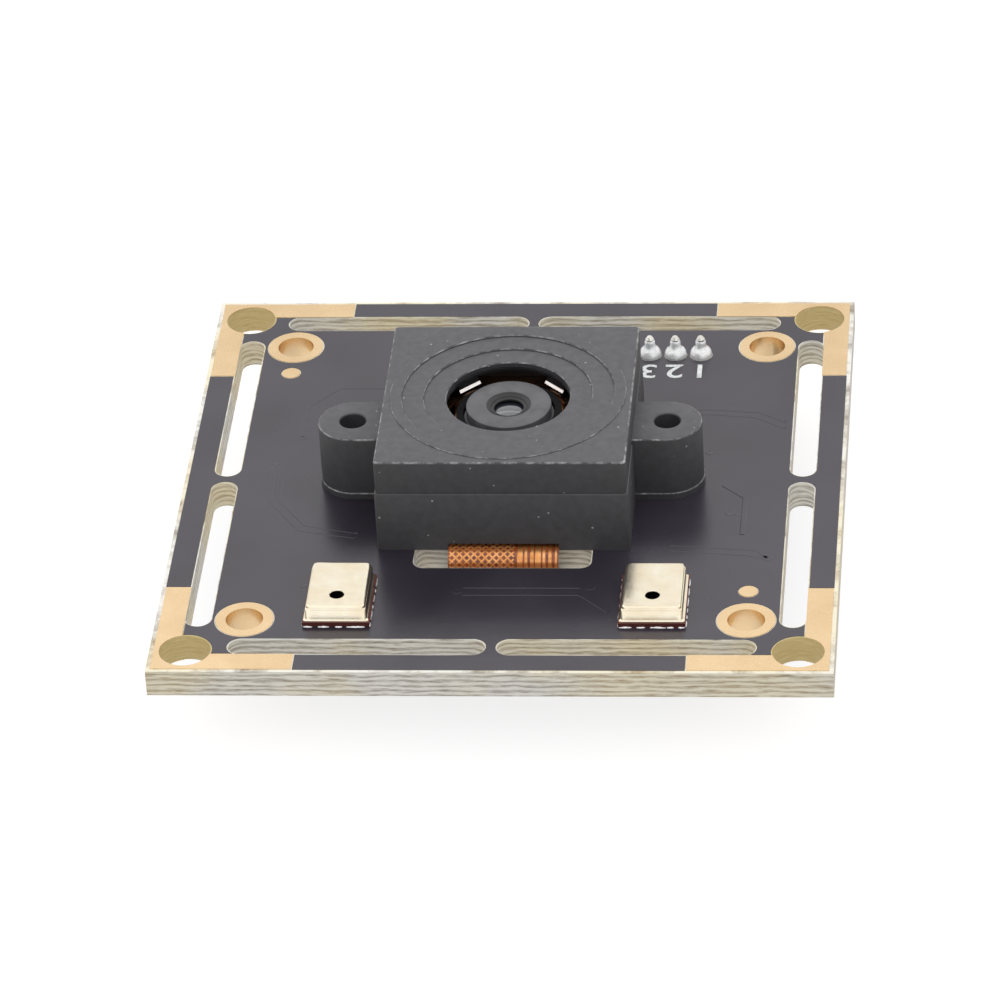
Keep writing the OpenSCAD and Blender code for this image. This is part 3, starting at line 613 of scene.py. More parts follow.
def make_camera():
    """Camera that looks at CAMERA_AT from the photo's side, rolled a little."""
    flat = math.cos(CAMERA_RISE)
    forward = Vector((math.sin(CAMERA_TURN) * flat, math.cos(CAMERA_TURN) * flat, -math.sin(CAMERA_RISE)))
    level = forward.cross(Vector((0, 0, 1))).normalized()
    upright = level.cross(forward)
    right = level * math.cos(CAMERA_ROLL) + upright * math.sin(CAMERA_ROLL)
    up = upright * math.cos(CAMERA_ROLL) - level * math.sin(CAMERA_ROLL)
    data = bpy.data.cameras.new("camera")
    data.lens = CAMERA_LENS
    data.clip_start = 0.01
    camera = add_object("camera", data)
    turn = Matrix((right, up, -forward)).transposed().to_4x4()
    camera.matrix_world = Matrix.Translation((CAMERA_AT - forward * CAMERA_DISTANCE) * MM) @ turn
    bpy.context.scene.camera = camera


def seen_directly(build):
    """1 for camera, glossy and transmission rays."""
    path = build.node("ShaderNodeLightPath").outputs
    seen_or_mirrored = build.math("MAXIMUM", path["Is Camera Ray"], path["Is Glossy Ray"])
    return build.math("MAXIMUM", seen_or_mirrored, path["Is Transmission Ray"])


LAMP_EDGE_LOW, LAMP_EDGE_HIGH = 0.56, 0.74  # sines of the rises between which the overhead lamp begins


def make_world(ambient=0.5, overhead=0.1):
    """White studio. Mirrors see it dim overhead, where the large lamp adds its own light."""
    world = bpy.data.worlds.new("studio")
    bpy.context.scene.world = world
    world.use_nodes = True
    build = Nodes(world.node_tree)
    direction = build.node("ShaderNodeTexCoord").outputs["Generated"]
    rise = build.node("ShaderNodeSeparateXYZ", Vector=direction).outputs[2]
    mirrored = build.step(rise, LAMP_EDGE_LOW, LAMP_EDGE_HIGH, 1.0, overhead)
    strength = build.mix_value(seen_directly(build), ambient, 1.0)
    glossy = build.node("ShaderNodeLightPath").outputs["Is Glossy Ray"]
    background = world.node_tree.nodes["Background"]
    background.inputs["Color"].default_value = (1, 1, 1, 1)
    build.put(build.mix_value(glossy, strength, mirrored), background.inputs["Strength"])


def make_floor():
    """Pale floor just under the header. It takes the shadow, and is clear from below and to fill light."""
    look = Look("studio_floor", (0.5, 0.5, 0.5), 0.9)
    look.mottle(40, (0.27, 0.27, 0.27), (0.29, 0.29, 0.29), 2)
    look.set("Emission Color", (1, 1, 1, 1))
    look.set("Emission Strength", 0.8)
    unseen = look.math("SUBTRACT", 1.0, seen_directly(look))
    behind = look.node("ShaderNodeNewGeometry").outputs["Backfacing"]
    clear = look.node("ShaderNodeBsdfTransparent").outputs[0]
    parts = (look.math("MAXIMUM", unseen, behind), look.shader.outputs[0], clear)
    both = look.node("ShaderNodeMixShader")
    for part, socket in zip(parts, both.inputs):
        look.put(part, socket)
    look.put(both.outputs[0], look.tree.nodes["Material Output"].inputs["Surface"])
    size = 2.0
    z = cad_box[0][2] - 0.0002
    corners = [(-size, -size, z), (size, -size, z), (size, size, z), (-size, size, z)]
    mesh = bpy.data.meshes.new("floor")
    mesh.from_pydata(corners, [], [(0, 1, 2, 3)])
    mesh.materials.append(look.material)
    floor = add_object("floor", mesh)


def add_softbox(name, turn, rise, size, radiance, distance=0.6):
    """Lamp of size (width, height) seen from the object at that turn from +Y and that rise, facing it."""
    lamp = bpy.data.lights.new(name, "AREA")
    lamp.shape = "RECTANGLE"
    lamp.size, lamp.size_y = size
    lamp.energy = radiance * math.pi * size[0] * size[1]
    flat = math.cos(math.radians(rise)) * distance
    at = Vector((math.sin(math.radians(turn)) * flat, math.cos(math.radians(turn)) * flat,
                 math.sin(math.radians(rise)) * distance))
    obj = add_object(name, lamp)
    obj.location = at
    obj.rotation_euler = at.to_track_quat("Z", "Y").to_euler()


# ---------- board ----------

def inside(outline, x, y):
    """Whether a point lies in a closed outline."""
    hit = False
    for (ax, ay), (bx, by) in zip(outline, outline[1:] + outline[:1]):
        if (ay > y) != (by > y) and x < ax + (y - ay) * (bx - ax) / (by - ay):
            hit = not hit
    return hit


def outline_of(ring):
    """A ring of points without its height."""
    return [(x, y) for x, y, _ in ring]


def quarter_turned(points, quarters):
    """Outline turned around the middle by quarters."""
    for _ in range(quarters):
        points = [(-y, x) for x, y in points]
    return points


def disc_2d(x, y, r, segments=48):
    """Outline of a disc."""
    return outline_of(circle(r, 0, segments, (x, y)))


def slot_outline(a, b, y, half_w, turn):
    """Slot with round ends from x = a to x = b, turned around the middle by quarters."""
    ring = round_rect((b - a) / 2, half_w, half_w - 0.001, 0, ((a + b) / 2, y), 10)
    return quarter_turned(outline_of(ring), turn)


def land_outline(turn, grow):
    """L-shaped corner land, grown outwards by grow."""
    inner = SLOT_XY + SLOT_W / 2 - grow
    outer = HALF - LAND_MARGIN + grow
    end = HALF - LAND_LEG - grow
    points = [(end, inner), (inner, inner), (inner, end), (outer, end), (outer, outer), (end, outer)]
    return quarter_turned(points, turn)


def mask_openings(top):
    """Outlines where the lacquer is open, each set back a little from what it frees."""
    gap = 0.06
    openings = []
    for turn in range(4):
        openings.append(slot_outline(SLOT_FROM - gap, SLOT_TO + gap, SLOT_XY, SLOT_W / 2 + gap, turn))
        openings.append(slot_outline(-SLOT_TO - gap, -SLOT_FROM + gap, SLOT_XY, SLOT_W / 2 + gap, turn))
        openings.append(land_outline(turn, gap))
    for sx in (-1, 1):
        for sy in (-1, 1):
            openings.append(disc_2d(sx * INNER_XY, sy * INNER_XY, RING_R + gap, 72))
            openings.append(disc_2d(sx * OUTER_XY, sy * OUTER_XY, OUTER_HOLE_R + gap, 72))
        openings.append(disc_2d(sx * EAR_X, 0, SCREW_HOLE_R if top else SCREW_HEAD_R))
    if top:
        for s in (-1, 1):
            openings.append(disc_2d(s * INNER_XY, -s * DOT_Y, DOT_R + gap))
    length, width, r = FLEX_SLOT
    openings.append(outline_of(round_rect(length / 2 + gap, width / 2 + gap, r + gap, 0, (0, FLEX_SLOT_Y))))
    for x in PIN_XS:
        openings.append(disc_2d(x, PIN_Y, 0.68))
    return openings


def make_mask(name, z, up, top):
    """Lacquer sheet on one face of the board, from z outwards."""
    outer = [quarter_turned([(-MASK_EDGE, -MASK_EDGE)], quarter)[0] for quarter in range(4)]
    openings = mask_openings(top)
    points, edges = [], []
    for outline in [outer] + openings:
        start = len(points)
        points += [Vector(p) for p in outline]
        edges += [(start + i, start + (i + 1) % len(outline)) for i in range(len(outline))]
    verts, _, faces, *_ = delaunay_2d_cdt(points, edges, [], 0, 1e-6)
    kept = []
    for face in faces:
        x = sum(verts[i][0] for i in face) / len(face)
        y = sum(verts[i][1] for i in face) / len(face)
        if inside(outer, x, y) and not any(inside(o, x, y) for o in openings):
            kept.append(list(face))
    shape = Shape()
    count = len(verts)
    both = [(v[0], v[1], z) for v in verts] + [(v[0], v[1], z + up * MASK_T) for v in verts]
    sides = [side for face in kept for side in zip(face, face[1:] + face[:1])]
    taken = set(sides)
    walls = [[a, b, b + count, a + count] for a, b in sides if (b, a) not in taken]
    shape.add(both, [list(reversed(f)) for f in kept] + [[i + count for i in f] for f in kept] + walls)
    shape.piece(name, BOARD, ["mask"])


def flat_track(shape, points, z, width, height):
    """Level track through points."""
    path = [Vector((x, y, z)) for x, y in points]
    shape.strip(path, [Vector((0, 0, 1))] * len(path), width / 2, height)


def make_traces():
    """Copper runs and covered vias that stand up a little under the lacquer."""
    shape = Shape()
    z = Z_TOP + MASK_T - 0.004
    for points in (
        [(9.2, 6.8), (11.1, 6.8), (13.7, 6.5), (15.4, 5.3)],
        [(9.2, 7.3), (11.2, 7.3), (13.9, 7.0), (15.4, 6.0)],
        [(9.4, -6.6), (10.3, -6.7), (14.3, -7.1), (14.9, -7.9)],
        [(9.4, -7.1), (10.3, -7.2), (13.8, -7.6), (14.9, -7.9)],
        [(-13.9, 1.4), (-13.9, -2.1), (-11.8, -5.2), (-8.6, -5.9)],
        [(-13.4, 1.4), (-13.4, -1.9), (-11.5, -4.7), (-8.6, -5.4)],
        [(-12.6, 4.4), (-12.6, 7.6), (-10.9, 9.6), (-6, 9.6)],
        [(-2, -10.8), (4.6, -10.8)],
        [(-2, -11.5), (4.6, -11.5)],
        [(4.6, -11.5), (6.3, -13.2)],
        [(12.1, -0.6), (13.4, -1.9), (13.4, -5.6)],
    ):
        flat_track(shape, points, z, 0.3, 0.022)
    vias = [(14.93, -7.91), (12.62, -3.43), (13.12, -3.43), (-8.6, -5.65), (9.2, 7.05), (-6, 9.6)]
    vias += [(-12.6, 4.4), (5.1, -10.8), (-2.3, -11.2), (-11, -10.6), (11.2, 2.8), (-13.9, 1.7), (-10.4, 2.9)]
    for at in vias:
        shape.lathe(over(z, [(0.3, 0), (0.28, 0.016), (0.2, 0.018), (0.15, 0.006), (0.02, 0.002)]), at, 24)
    shape.piece("covered_traces", BOARD, ["mask"])


def make_pin_numbers():
    """Plain numbers in front of the header's pins, read from the back of the board."""
    size, widened = 2.0, 1.15
    for number, x in enumerate(reversed(PIN_XS), start=1):
        curve = bpy.data.curves.new("digit", "FONT")
        curve.body = str(number)
        curve.size = size * MM
        curve.extrude = 0.005 * MM
        curve.offset = 0.02 * MM
        curve.align_x = "CENTER"
        text = add_object("digit", curve)
        bpy.context.view_layer.update()
        mesh = bpy.data.meshes.new_from_object(text.evaluated_get(bpy.context.evaluated_depsgraph_get()))
        bpy.data.objects.remove(text)
        place = Matrix.Translation(Vector((x, PIN_Y - 1.1, Z_TOP + MASK_T + 0.006)) * MM)
        mesh.transform(place @ Matrix.Diagonal((widened, 1, 1, 1)) @ Matrix.Rotation(math.pi, 4, "Z"))
        mesh.materials.clear()
        mesh.materials.append(LOOKS["ink"])
        digit = add_object(f"pin_number_{number}", mesh)
        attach(digit, BOARD)


# ---------- lens housing ----------

SIDE_POINTS = 44                            # points along one straight side of the housing's outline
CORNER_POINTS = 8


def housing_outline(half, r):
    """Points of a rounded square, evenly spread along each straight side and each corner."""
    points = []
    for quarter in range(4):
        turn = Matrix.Rotation(math.pi / 2 * quarter, 2)
        straight = half - r
        for i in range(SIDE_POINTS):
            points.append(turn @ Vector((half, straight * (2 * i / SIDE_POINTS - 1))))
        for i in range(CORNER_POINTS):
            a = math.pi / 2 * i / CORNER_POINTS
            points.append(turn @ Vector((straight + r * math.cos(a), straight + r * math.sin(a))))
    return points


def square_ring(half, z, r):
    return [(p.x, p.y, z) for p in housing_outline(half, r)]


def round_ring(radius, z, half, r):
    """Circle whose points lie at the same angles as the housing outline's."""
    return [(p.x / p.length * radius, p.y / p.length * radius, z) for p in housing_outline(half, r)]


def make_housing():
    """Moulded housing: steps around the mouth, raised disc, worn rim with painted highlight, parting groove
    and hollow inside.
    """
    top = box_mm("lens_housing")[1].z
    shoulder = top - 0.06
    step_1, step_2 = top - 0.12, top - 0.24
    roof = top - 0.56
    parting = shoulder - 2.1
    half, corner, rim = HOUSING_HALF, 0.22, 0.09
    skirt = half + 0.07
    lip = 0.06
    inner, motor_well, inside_corner = half - 1.2, 4.35, 0.1
    notch_top, ledge = Z_TOP + 0.45, Z_TOP + 2.9
    rings, bands = [], []
    # Bands in slot 1 (mouth, step and disc chamfers, the top rim) take the edge look: wear and painted
    # highlight.
    for radius, z, slot in (
        (MOUTH_R, roof, 0), (MOUTH_R, step_2 - lip, 1), (MOUTH_R + lip, step_2, 0),
        (STEP_R_LOW - 0.01, step_2, 0), (STEP_R_LOW, step_1 - lip, 1), (STEP_R_LOW + lip, step_1, 0),
        (STEP_R_HIGH - 0.01, step_1, 0), (STEP_R_HIGH, top - lip, 1), (STEP_R_HIGH + lip, top, 0),
        (DISC_R - 0.04, top, 1), (DISC_R, top - 0.03, 0), (DISC_R + 0.01, shoulder, 0),
    ):
        rings.append(round_ring(radius, z, half, corner))
        bands.append(slot)
    for i in range(4):
        a = math.pi / 2 * i / 3
        edge_half = half - rim * (1 - math.sin(a))
        rings.append(square_ring(edge_half, shoulder - rim * (1 - math.cos(a)), corner))
        bands.append(1 if i < 3 else 0)
    wall = [(half, parting + 0.05, 0), (half - 0.04, parting, 0), (skirt - 0.03, parting - 0.03, 0)]
    wall.append((skirt, parting - 0.1, 0))
    notch = len(rings) + len(wall)
    # The band at the foot takes the edge look: a painted highlight line where the housing meets the board.
    wall += [(skirt, notch_top, 0), (skirt, Z_TOP + 0.03, 1), (skirt - 0.02, Z_TOP, 0)]
    hollow = [(inner, Z_TOP), (inner, notch_top), (inner, ledge), (motor_well, ledge), (motor_well, roof)]
    for half_side, z, slot in wall:
        rings.append(square_ring(half_side, z, corner))
        bands.append(slot)
    for half_side, z in hollow:
        rings.append(square_ring(half_side, z, inside_corner))
        bands.append(0)
    shape = Shape()
    shape.loft(rings, ring_slots=bands, closed=True)
    open_flex_notch(shape, notch, len(rings[0]))
    for side in (-1, 1):
        add_ear(shape, side)
    shape.piece("housing_moulding", BOARD, ["plastic", "edge"], ["lens_housing"])


def open_flex_notch(shape, first, count):
    """Opens the front wall where the flex comes out, from ring first on, and lines the notch."""
    bands = 4
    front = 3 * count // 4 + SIDE_POINTS // 2
    reach = int(FLEX_HALF / (HOUSING_HALF / SIDE_POINTS * 2)) + 1
    columns = [front - reach, front + reach]
    opened = set()
    for ring in range(first, first + bands):
        for column in range(*columns):
            corners = (ring * count + column, ring * count + column + 1)
            opened.add(frozenset(corners + tuple(c + count for c in corners)))
    kept = [i for i, face in enumerate(shape.faces) if frozenset(face) not in opened]
    shape.faces = [shape.faces[i] for i in kept]
    shape.slots = [shape.slots[i] for i in kept]
    outer, inner = first * count, (first + bands) * count
    lining = [[outer + c, outer + c + 1, inner + c + 1, inner + c] for c in range(*columns)]
    lining += [[(first + step) * count + c for step in range(bands + 1)] for c in columns]
    shape.faces += lining
    shape.slots += [0] * len(lining)


def add_ear(shape, side):
    """Ear with a round end, a screw hole, a rounded rim and a small foot."""
    reach = EAR_X - HOUSING_HALF + 0.3
    hole = 0.75
    steps = 96

    def ear_ring(grow, z):
        points = []
        for a in around(steps):
            c, s = math.cos(a), math.sin(a)
            r = EAR_R + grow
            if c < 0:
                r = min((EAR_R + grow) / max(abs(s), 1e-6), reach / max(abs(c), 1e-6))
            points.append((side * (EAR_X + r * c), r * s, z))
        return points

    def hole_ring(r, z):
        return [(side * (EAR_X + r * math.cos(a)), r * math.sin(a), z) for a in around(steps)]

    rings = [hole_ring(hole, Z_TOP), hole_ring(hole, EAR_TOP - 0.06), hole_ring(hole + 0.06, EAR_TOP)]
    rings += [ear_ring(-0.07, EAR_TOP), ear_ring(-0.02, EAR_TOP - 0.03), ear_ring(0, EAR_TOP - 0.08)]
    rings += [ear_ring(0, Z_TOP + 0.42), ear_ring(0.05, Z_TOP + 0.36), ear_ring(0.05, Z_TOP)]
    # The rim and the foot's flare take the edge look: wear and painted highlight.
    shape.loft(rings, ring_slots=[0, 0, 0, 1, 1, 0, 1, 0, 0], closed=True)


# ---------- focus motor and lens ----------

def make_yoke():
    """Pressed yoke: dark painted case, with a dark and a leaning bright tongue at each mouth corner."""
    low, high = box_mm("motor_yoke")
    half = high.x
    tongue_r, tongue_low, tongue_t = 3.51, high.z - 0.6, 0.12
    lean_r, lean_low, lean = MOUTH_R - 0.2, high.z - 0.66, math.radians(42)
    shape = Shape()
    rings = [round_ring(MOUTH_R, high.z - 0.2, half, 0.3), round_ring(MOUTH_R, high.z - 0.02, half, 0.3)]
    rings += [round_ring(MOUTH_R + 0.02, high.z, half, 0.3), square_ring(half - 0.1, high.z, 0.3)]
    rings += [square_ring(half - 0.03, high.z - 0.03, 0.3), square_ring(half, high.z - 0.1, 0.3)]
    rings += [square_ring(half, low.z, 0.3), square_ring(half - 0.2, low.z, 0.2)]
    rings += [square_ring(half - 0.2, high.z - 0.2, 0.2)]
    shape.loft(rings, closed=True)
    for quarter in range(4):
        turn = Matrix.Rotation(math.radians(45 + 90 * quarter), 4, "Z")
        outer_corner = (tongue_r + tongue_t, 0.75, high.z - 0.02)
        shape.soft_box((tongue_r, -0.75, tongue_low), outer_corner, 0.04, 0.03, 0, turn)
        leaning = Matrix.Translation((lean_r, 0, lean_low)) @ Matrix.Rotation(lean, 4, "Y")
        shape.soft_box((0, -0.78, 0), (0.08, 0.78, 0.21), 0.02, 0.02, 1, turn @ leaning)
    shape.piece("yoke_case", BOARD, ["black", "bright"], ["motor_yoke"])


def make_coil():
    """Wound coil: an eight-sided stack of round wires."""
    low, high = box_mm("drive_coil")
    flat_in, flat_out = high.x - 0.3, high.x
    turns = 26
    pitch = (high.z - low.z) / turns
    shape = Shape()
    profile = [(flat_in, low.z)]
    for i in range(turns):
        for step in (0, 1, 2):
            a = math.pi * step / 3
            z = low.z + pitch * (i + (1 - math.cos(a)) / 2)
            profile.append((flat_out - pitch / 2 + pitch / 2 * math.sin(a), z))
    profile.append((flat_in, high.z))
    rings = []
    for flat, z in profile:
        points = []
        for a in around(64):
            off = (a + math.pi / 8) % (math.pi / 4) - math.pi / 8
            points.append((flat / math.cos(off) * math.cos(a), flat / math.cos(off) * math.sin(a), z))
        rings.append(points)
    shape.loft(rings, closed=True)
    # Its copper is darkened as painted shade for the gap inside the motor.
    shape.piece("wound_coil", LENS, ["copper"], ["drive_coil"], sharp=60)


def make_barrel():
    """Threaded barrel: flat front with a rounded rim, stepped dark cone, thread below."""
    low, high = box_mm("lens_barrel")
    front_r, thread_r, thread_pitch = 2.44, high.x, 0.25
    wide_bore, lens_bore = 2.15, 1.47
    neck = high.z - 0.68
    shape = Shape()
    cone = [(0.85, -0.34), (0.85, -0.24), (1.0, -0.19), (1.02, -0.15), (1.2, -0.06), (1.28, -0.015)]
    rim = [(1.31, 0), (front_r - 0.07, 0), (front_r - 0.02, -0.025), (front_r, -0.08)]
    profile = over(high.z, cone + rim) + [(front_r, neck), (thread_r - 0.05, neck)]
    z = neck
    while z - thread_pitch > low.z:
        profile += [(thread_r, z - 0.08), (thread_r - 0.07, z - 0.2)]
        z -= thread_pitch
    profile += [(thread_r - 0.05, low.z), (wide_bore, low.z), (wide_bore, high.z - 2.0)]
    profile += [(lens_bore, high.z - 2.0), (lens_bore, high.z - 0.34)]
    rings = [circle(r, z, 128) for r, z in profile]
    cone_bands = [1] * 5 + [0] * (len(rings) - 5)
    shape.loft(rings, ring_slots=cone_bands, closed=True)
    shape.piece("threaded_barrel", LENS, ["barrel", "cone"], ["lens_barrel"])


def make_front_lens():
    """Smooth dome of the front lens."""
    low, high = box_mm("front_lens")
    r = high.x
    sag = 0.2
    shape = Shape()
    profile = [(0.005, low.z), (r, low.z + 0.1), (r, high.z - sag)]
    curve, aperture, steps = 3.4, 0.87, 25
    for i in range(steps):
        a = math.asin(aperture / curve) * (1 - i / steps)
        profile.append((curve * math.sin(a), high.z - curve * (1 - math.cos(a))))
    profile.append((0.005, high.z))
    shape.lathe(profile, segments=128)
    shape.piece("front_lens_dome", LENS, ["front_glass"], ["front_lens"], sharp=50)


# ---------- flex ----------

def flex_path(lift, samples=10):
    """Points and outward directions along the visible stretch of the flex, lift above its middle."""
    r_top, r_low = 0.85, 0.6
    z_flex = Z_TOP + FLEX_T
    z_low = FLEX_LOW.z + FLEX_T / 2
    y_top, y_low = FLEX_Y + r_top, FLEX_Y + r_low
    path = []
    y_start, y_end, straight_steps = -4.4, -4.8, 6
    for i in range(straight_steps):
        y = y_start + (y_top - y_start) * i / straight_steps
        path.append((Vector((0, y, z_flex)), Vector((0, 0, 1))))
    for i in range(samples + 1):
        a = math.pi / 2 * i / samples
        up = Vector((0, -math.sin(a), math.cos(a)))
        path.append((Vector((0, y_top, z_flex - r_top)) + up * r_top, up))
    for i in range(samples + 1):
        a = math.pi / 2 * i / samples
        up = Vector((0, -math.cos(a), -math.sin(a)))
        path.append((Vector((0, y_low, z_low + r_low)) + up * r_low, up))
    path.append((Vector((0, y_end, z_low)), Vector((0, 0, -1))))
    return [(p + up * lift, up) for p, up in path]


def make_flex_tracks():
    """Etched copper on the flex: straight runs on the right, crossed hatching on the left."""
    shape = Shape()
    path = flex_path(FLEX_T / 2 - 0.002)
    lengths = [0.0]
    for (a, _), (b, _) in zip(path, path[1:]):
        lengths.append(lengths[-1] + (b - a).length)

    def at(s):
        for i in range(1, len(path)):
            if s <= lengths[i]:
                share = (s - lengths[i - 1]) / (lengths[i] - lengths[i - 1])
                p = path[i - 1][0].lerp(path[i][0], share)
                return p, path[i - 1][1].lerp(path[i][1], share).normalized()
        return path[-1]

    def track(ends, half_w):
        (xa, sa), (xb, sb) = ends
        count = max(int(abs(sb - sa) / 0.12), 2)
        points, ups = [], []
        for i in range(count + 1):
            p, up = at(sa + (sb - sa) * i / count)
            points.append(p + Vector((xa + (xb - xa) * i / count, 0, 0)))
            ups.append(up)
        shape.strip(points, ups, half_w, 0.018)

    end = lengths[-1]
    first_run, run_pitch = 0.95, 0.34
    for i, half_w in enumerate((0.16, 0.09, 0.11, 0.17, 0.09, 0.1, 0.07)):
        x = first_run + i * run_pitch
        track([(x, 0), (x, end)], half_w)
    left, right = -FLEX_HALF + 0.08, 0.6
    pitch = 0.42
    span = right - left
    for slope in (-1, 1):
        s = -span
        while s < end:
            a, b = max(0.0, -s), min(span, end - s)
            if b - a > 0.1:
                start = left + a if slope > 0 else right - a
                stop = left + b if slope > 0 else right - b
                track([(start, s + a), (stop, s + b)], 0.055)
            s += pitch
    shape.piece("flex_tracks", BOARD, ["track"])


# ---------- microphones ----------

def make_microphone(name):
    """Drawn gilt can with rounded steps and a sound port, soldered on its base."""
    low, high = box_mm(name + "_can")
    centre, hx, hy = footprint(low, high)
    port = (centre[0], centre[1] - 0.95)
    port_r = 0.4
    lid_x, lid_y = hx - 0.2, hy - 0.14
    shoulder_x, shoulder_y = hx - 0.12, hy - 0.07
    top = high.z
    shape = Shape()
    rings = []
    outline = [(hx, hy, low.z, 0.1), (hx, hy, low.z + 0.09, 0.1), (hx - 0.03, hy - 0.03, low.z + 0.12, 0.1)]
    outline.append((shoulder_x + 0.02, shoulder_y + 0.02, low.z + 0.13, 0.2))
    outline += [(shoulder_x, shoulder_y, low.z + 0.17, 0.2), (shoulder_x, shoulder_y, top - 0.24, 0.2)]
    outline.append((shoulder_x - 0.03, shoulder_y - 0.03, top - 0.19, 0.2))
    outline += [(lid_x + 0.02, lid_y + 0.02, top - 0.18, 0.25), (lid_x, lid_y, top - 0.14, 0.25)]
    outline += [(lid_x, lid_y, top - 0.05, 0.25), (lid_x - 0.015, lid_y - 0.015, top - 0.015, 0.24)]
    outline += [(lid_x - 0.05, lid_y - 0.05, top, 0.22), (lid_x - 0.12, lid_y - 0.12, top, 0.2)]
    for x, y, z, r in outline:
        rings.append(polar_rect(x, y, r, z, centre, port))
    last = rings[-1]
    rings.append([port_point(p, port, port_r + 0.03, top) for p in last])
    rings.append([port_point(p, port, port_r, top - 0.03) for p in last])
    rings.append([port_point(p, port, port_r, top - 0.1) for p in last])
    shape.loft(rings, caps=(True, False))
    shape.piece(name + "_shell", BOARD, ["can"], [name + "_can"], sharp=40)
    add_microphone_solder(name, centre, hx, hy)


def polar_rect(hx, hy, r, z, centre, pole, steps=120):
    """Rounded rectangle sampled at even angles around the pole."""
    return [rect_hit(hx, hy, r, centre, pole, math.cos(a), math.sin(a)) + (z,) for a in around(steps)]


def rect_hit(hx, hy, r, centre, pole, c, s):
    """Where a ray from the pole leaves a rounded rectangle, by halving."""
    near, far = 0.0, 2 * (hx + hy)
    for _ in range(40):
        half = (near + far) / 2
        x, y = pole[0] + half * c - centre[0], pole[1] + half * s - centre[1]
        qx, qy = max(abs(x) - hx + r, 0), max(abs(y) - hy + r, 0)
        if math.hypot(qx, qy) < r and abs(x) < hx and abs(y) < hy:
            near = half
        else:
            far = half
    return pole[0] + near * c, pole[1] + near * s


def port_point(p, port, r, z):
    """Point at distance r from the port in the direction of p."""
    dx, dy = p[0] - port[0], p[1] - port[1]
    length = math.hypot(dx, dy)
    return (port[0] + dx / length * r, port[1] + dy / length * r, z)


def add_microphone_solder(name, centre, hx, hy):
    """Uneven fillet of solder along the foot of a microphone's base, with gaps."""
    rng = random.Random(name)
    shape = Shape()
    foot = Z_TOP + MASK_T
    for nx, ny, out, along in ((1, 0, hx, hy), (-1, 0, hx, hy), (0, 1, hy, hx), (0, -1, hy, hx)):
        at = -along
        while at < along - 0.2:
            length = rng.uniform(0.3, 1.1)
            end = min(at + length, along)
            rings = []
            steps = 8
            for i in range(steps + 1):
                t = at + (end - at) * i / steps
                swell = math.sin(math.pi * (i + 0.6) / (steps + 1.2)) ** 0.6
                reach = (0.05 + rng.uniform(0, 0.04)) * swell
                rise = (0.035 + rng.uniform(0, 0.05)) * swell
                section = [(0, -0.02), (reach, -0.02), (reach * 0.75, rise * 0.3)]
                section += [(reach * 0.3, rise * 0.8), (0, rise)]
                ring = []
                for away, up in section:
                    off = out + 0.045 + away
                    x = centre[0] + nx * off + (t if ny else 0)
                    y = centre[1] + ny * off + (t if nx else 0)
                    ring.append((x, y, foot + up))
                rings.append(ring)
            shape.loft(rings)
            at = end + rng.uniform(0.05, 0.35)
    shape.piece(name + "_solder", BOARD, ["solder"], sharp=60)


# ---------- header ----------

def make_solder_joints():
    """Bright concave cones that draw up to a neck around each pin."""
    shape = Shape()
    for number, x in enumerate(PIN_XS):
        wobble = 0.02 * math.sin(2.1 * number)
        z = Z_TOP + MASK_T * 0.5
        profile = [(0.64, 0), (0.65, 0.06), (0.64, 0.16), (0.61, 0.28), (0.55, 0.4), (0.46 + wobble, 0.5)]
        profile += [(0.37, 0.58), (0.325, 0.66), (0.31, 0.78), (0.31, 0.92), (0.29, 1.0), (0.24, 1.05)]
        shape.lathe(over(z, profile), (x, PIN_Y), 40)
    shape.piece("solder_cones", BOARD, ["solder"], ["solder_joints"], sharp=70)


# ---------- underside ----------

def make_chip_parts(name, node, body_look, top_look):
    """Two-ended chip parts: bevelled body, rounded tinned ends and a fillet of solder at each foot."""
    shape = Shape()
    for low, high in loose_boxes(node):
        along_x = high.x - low.x > high.y - low.y
        shape.soft_box(low + Vector((0.05, 0.03, 0.03)), high - Vector((0.05, 0.03, 0)), 0.03, 0.02, 0)
        end = 0.35
        axis = 0 if along_x else 1
        for far_end in (False, True):
            a, b = low.copy(), high.copy()
            if far_end:
                a[axis] = b[axis] - end
            else:
                b[axis] = a[axis] + end
            shape.soft_box(a, b, 0.08, 0.06, 1)
            add_end_fillet(shape, a, b, axis, far_end)
        if top_look:
            inset = Vector((0.36, 0.05, 0)) if along_x else Vector((0.05, 0.36, 0))
            face_low = low + inset
            face_high = Vector((high.x - inset.x, high.y - inset.y, low.z + 0.05))
            shape.soft_box(face_low + Vector((0, 0, 0.015)), face_high, 0.03, 0.01, 2)
    looks = [body_look, "tin"] + ([top_look] if top_look else [])
    shape.piece(name, BOARD, looks, [node])


def add_end_fillet(shape, low, high, axis, far_end):
    """Wedge of solder between a chip part's end and the board."""
    out = 0.18 if far_end else -0.18
    face = high[axis] if far_end else low[axis]
    across = 1 - axis
    rings = []
    for w in (low[across] + 0.06, high[across] - 0.06):
        ring = []
        for reach, z in ((0, 0), (out, 0), (out * 0.45, -0.07), (0, -0.2)):
            p = [0, 0, z - MASK_T]
            p[axis] = face + reach
            p[across] = w
            ring.append(tuple(p))
        rings.append(ring)
    shape.loft(rings, 1)


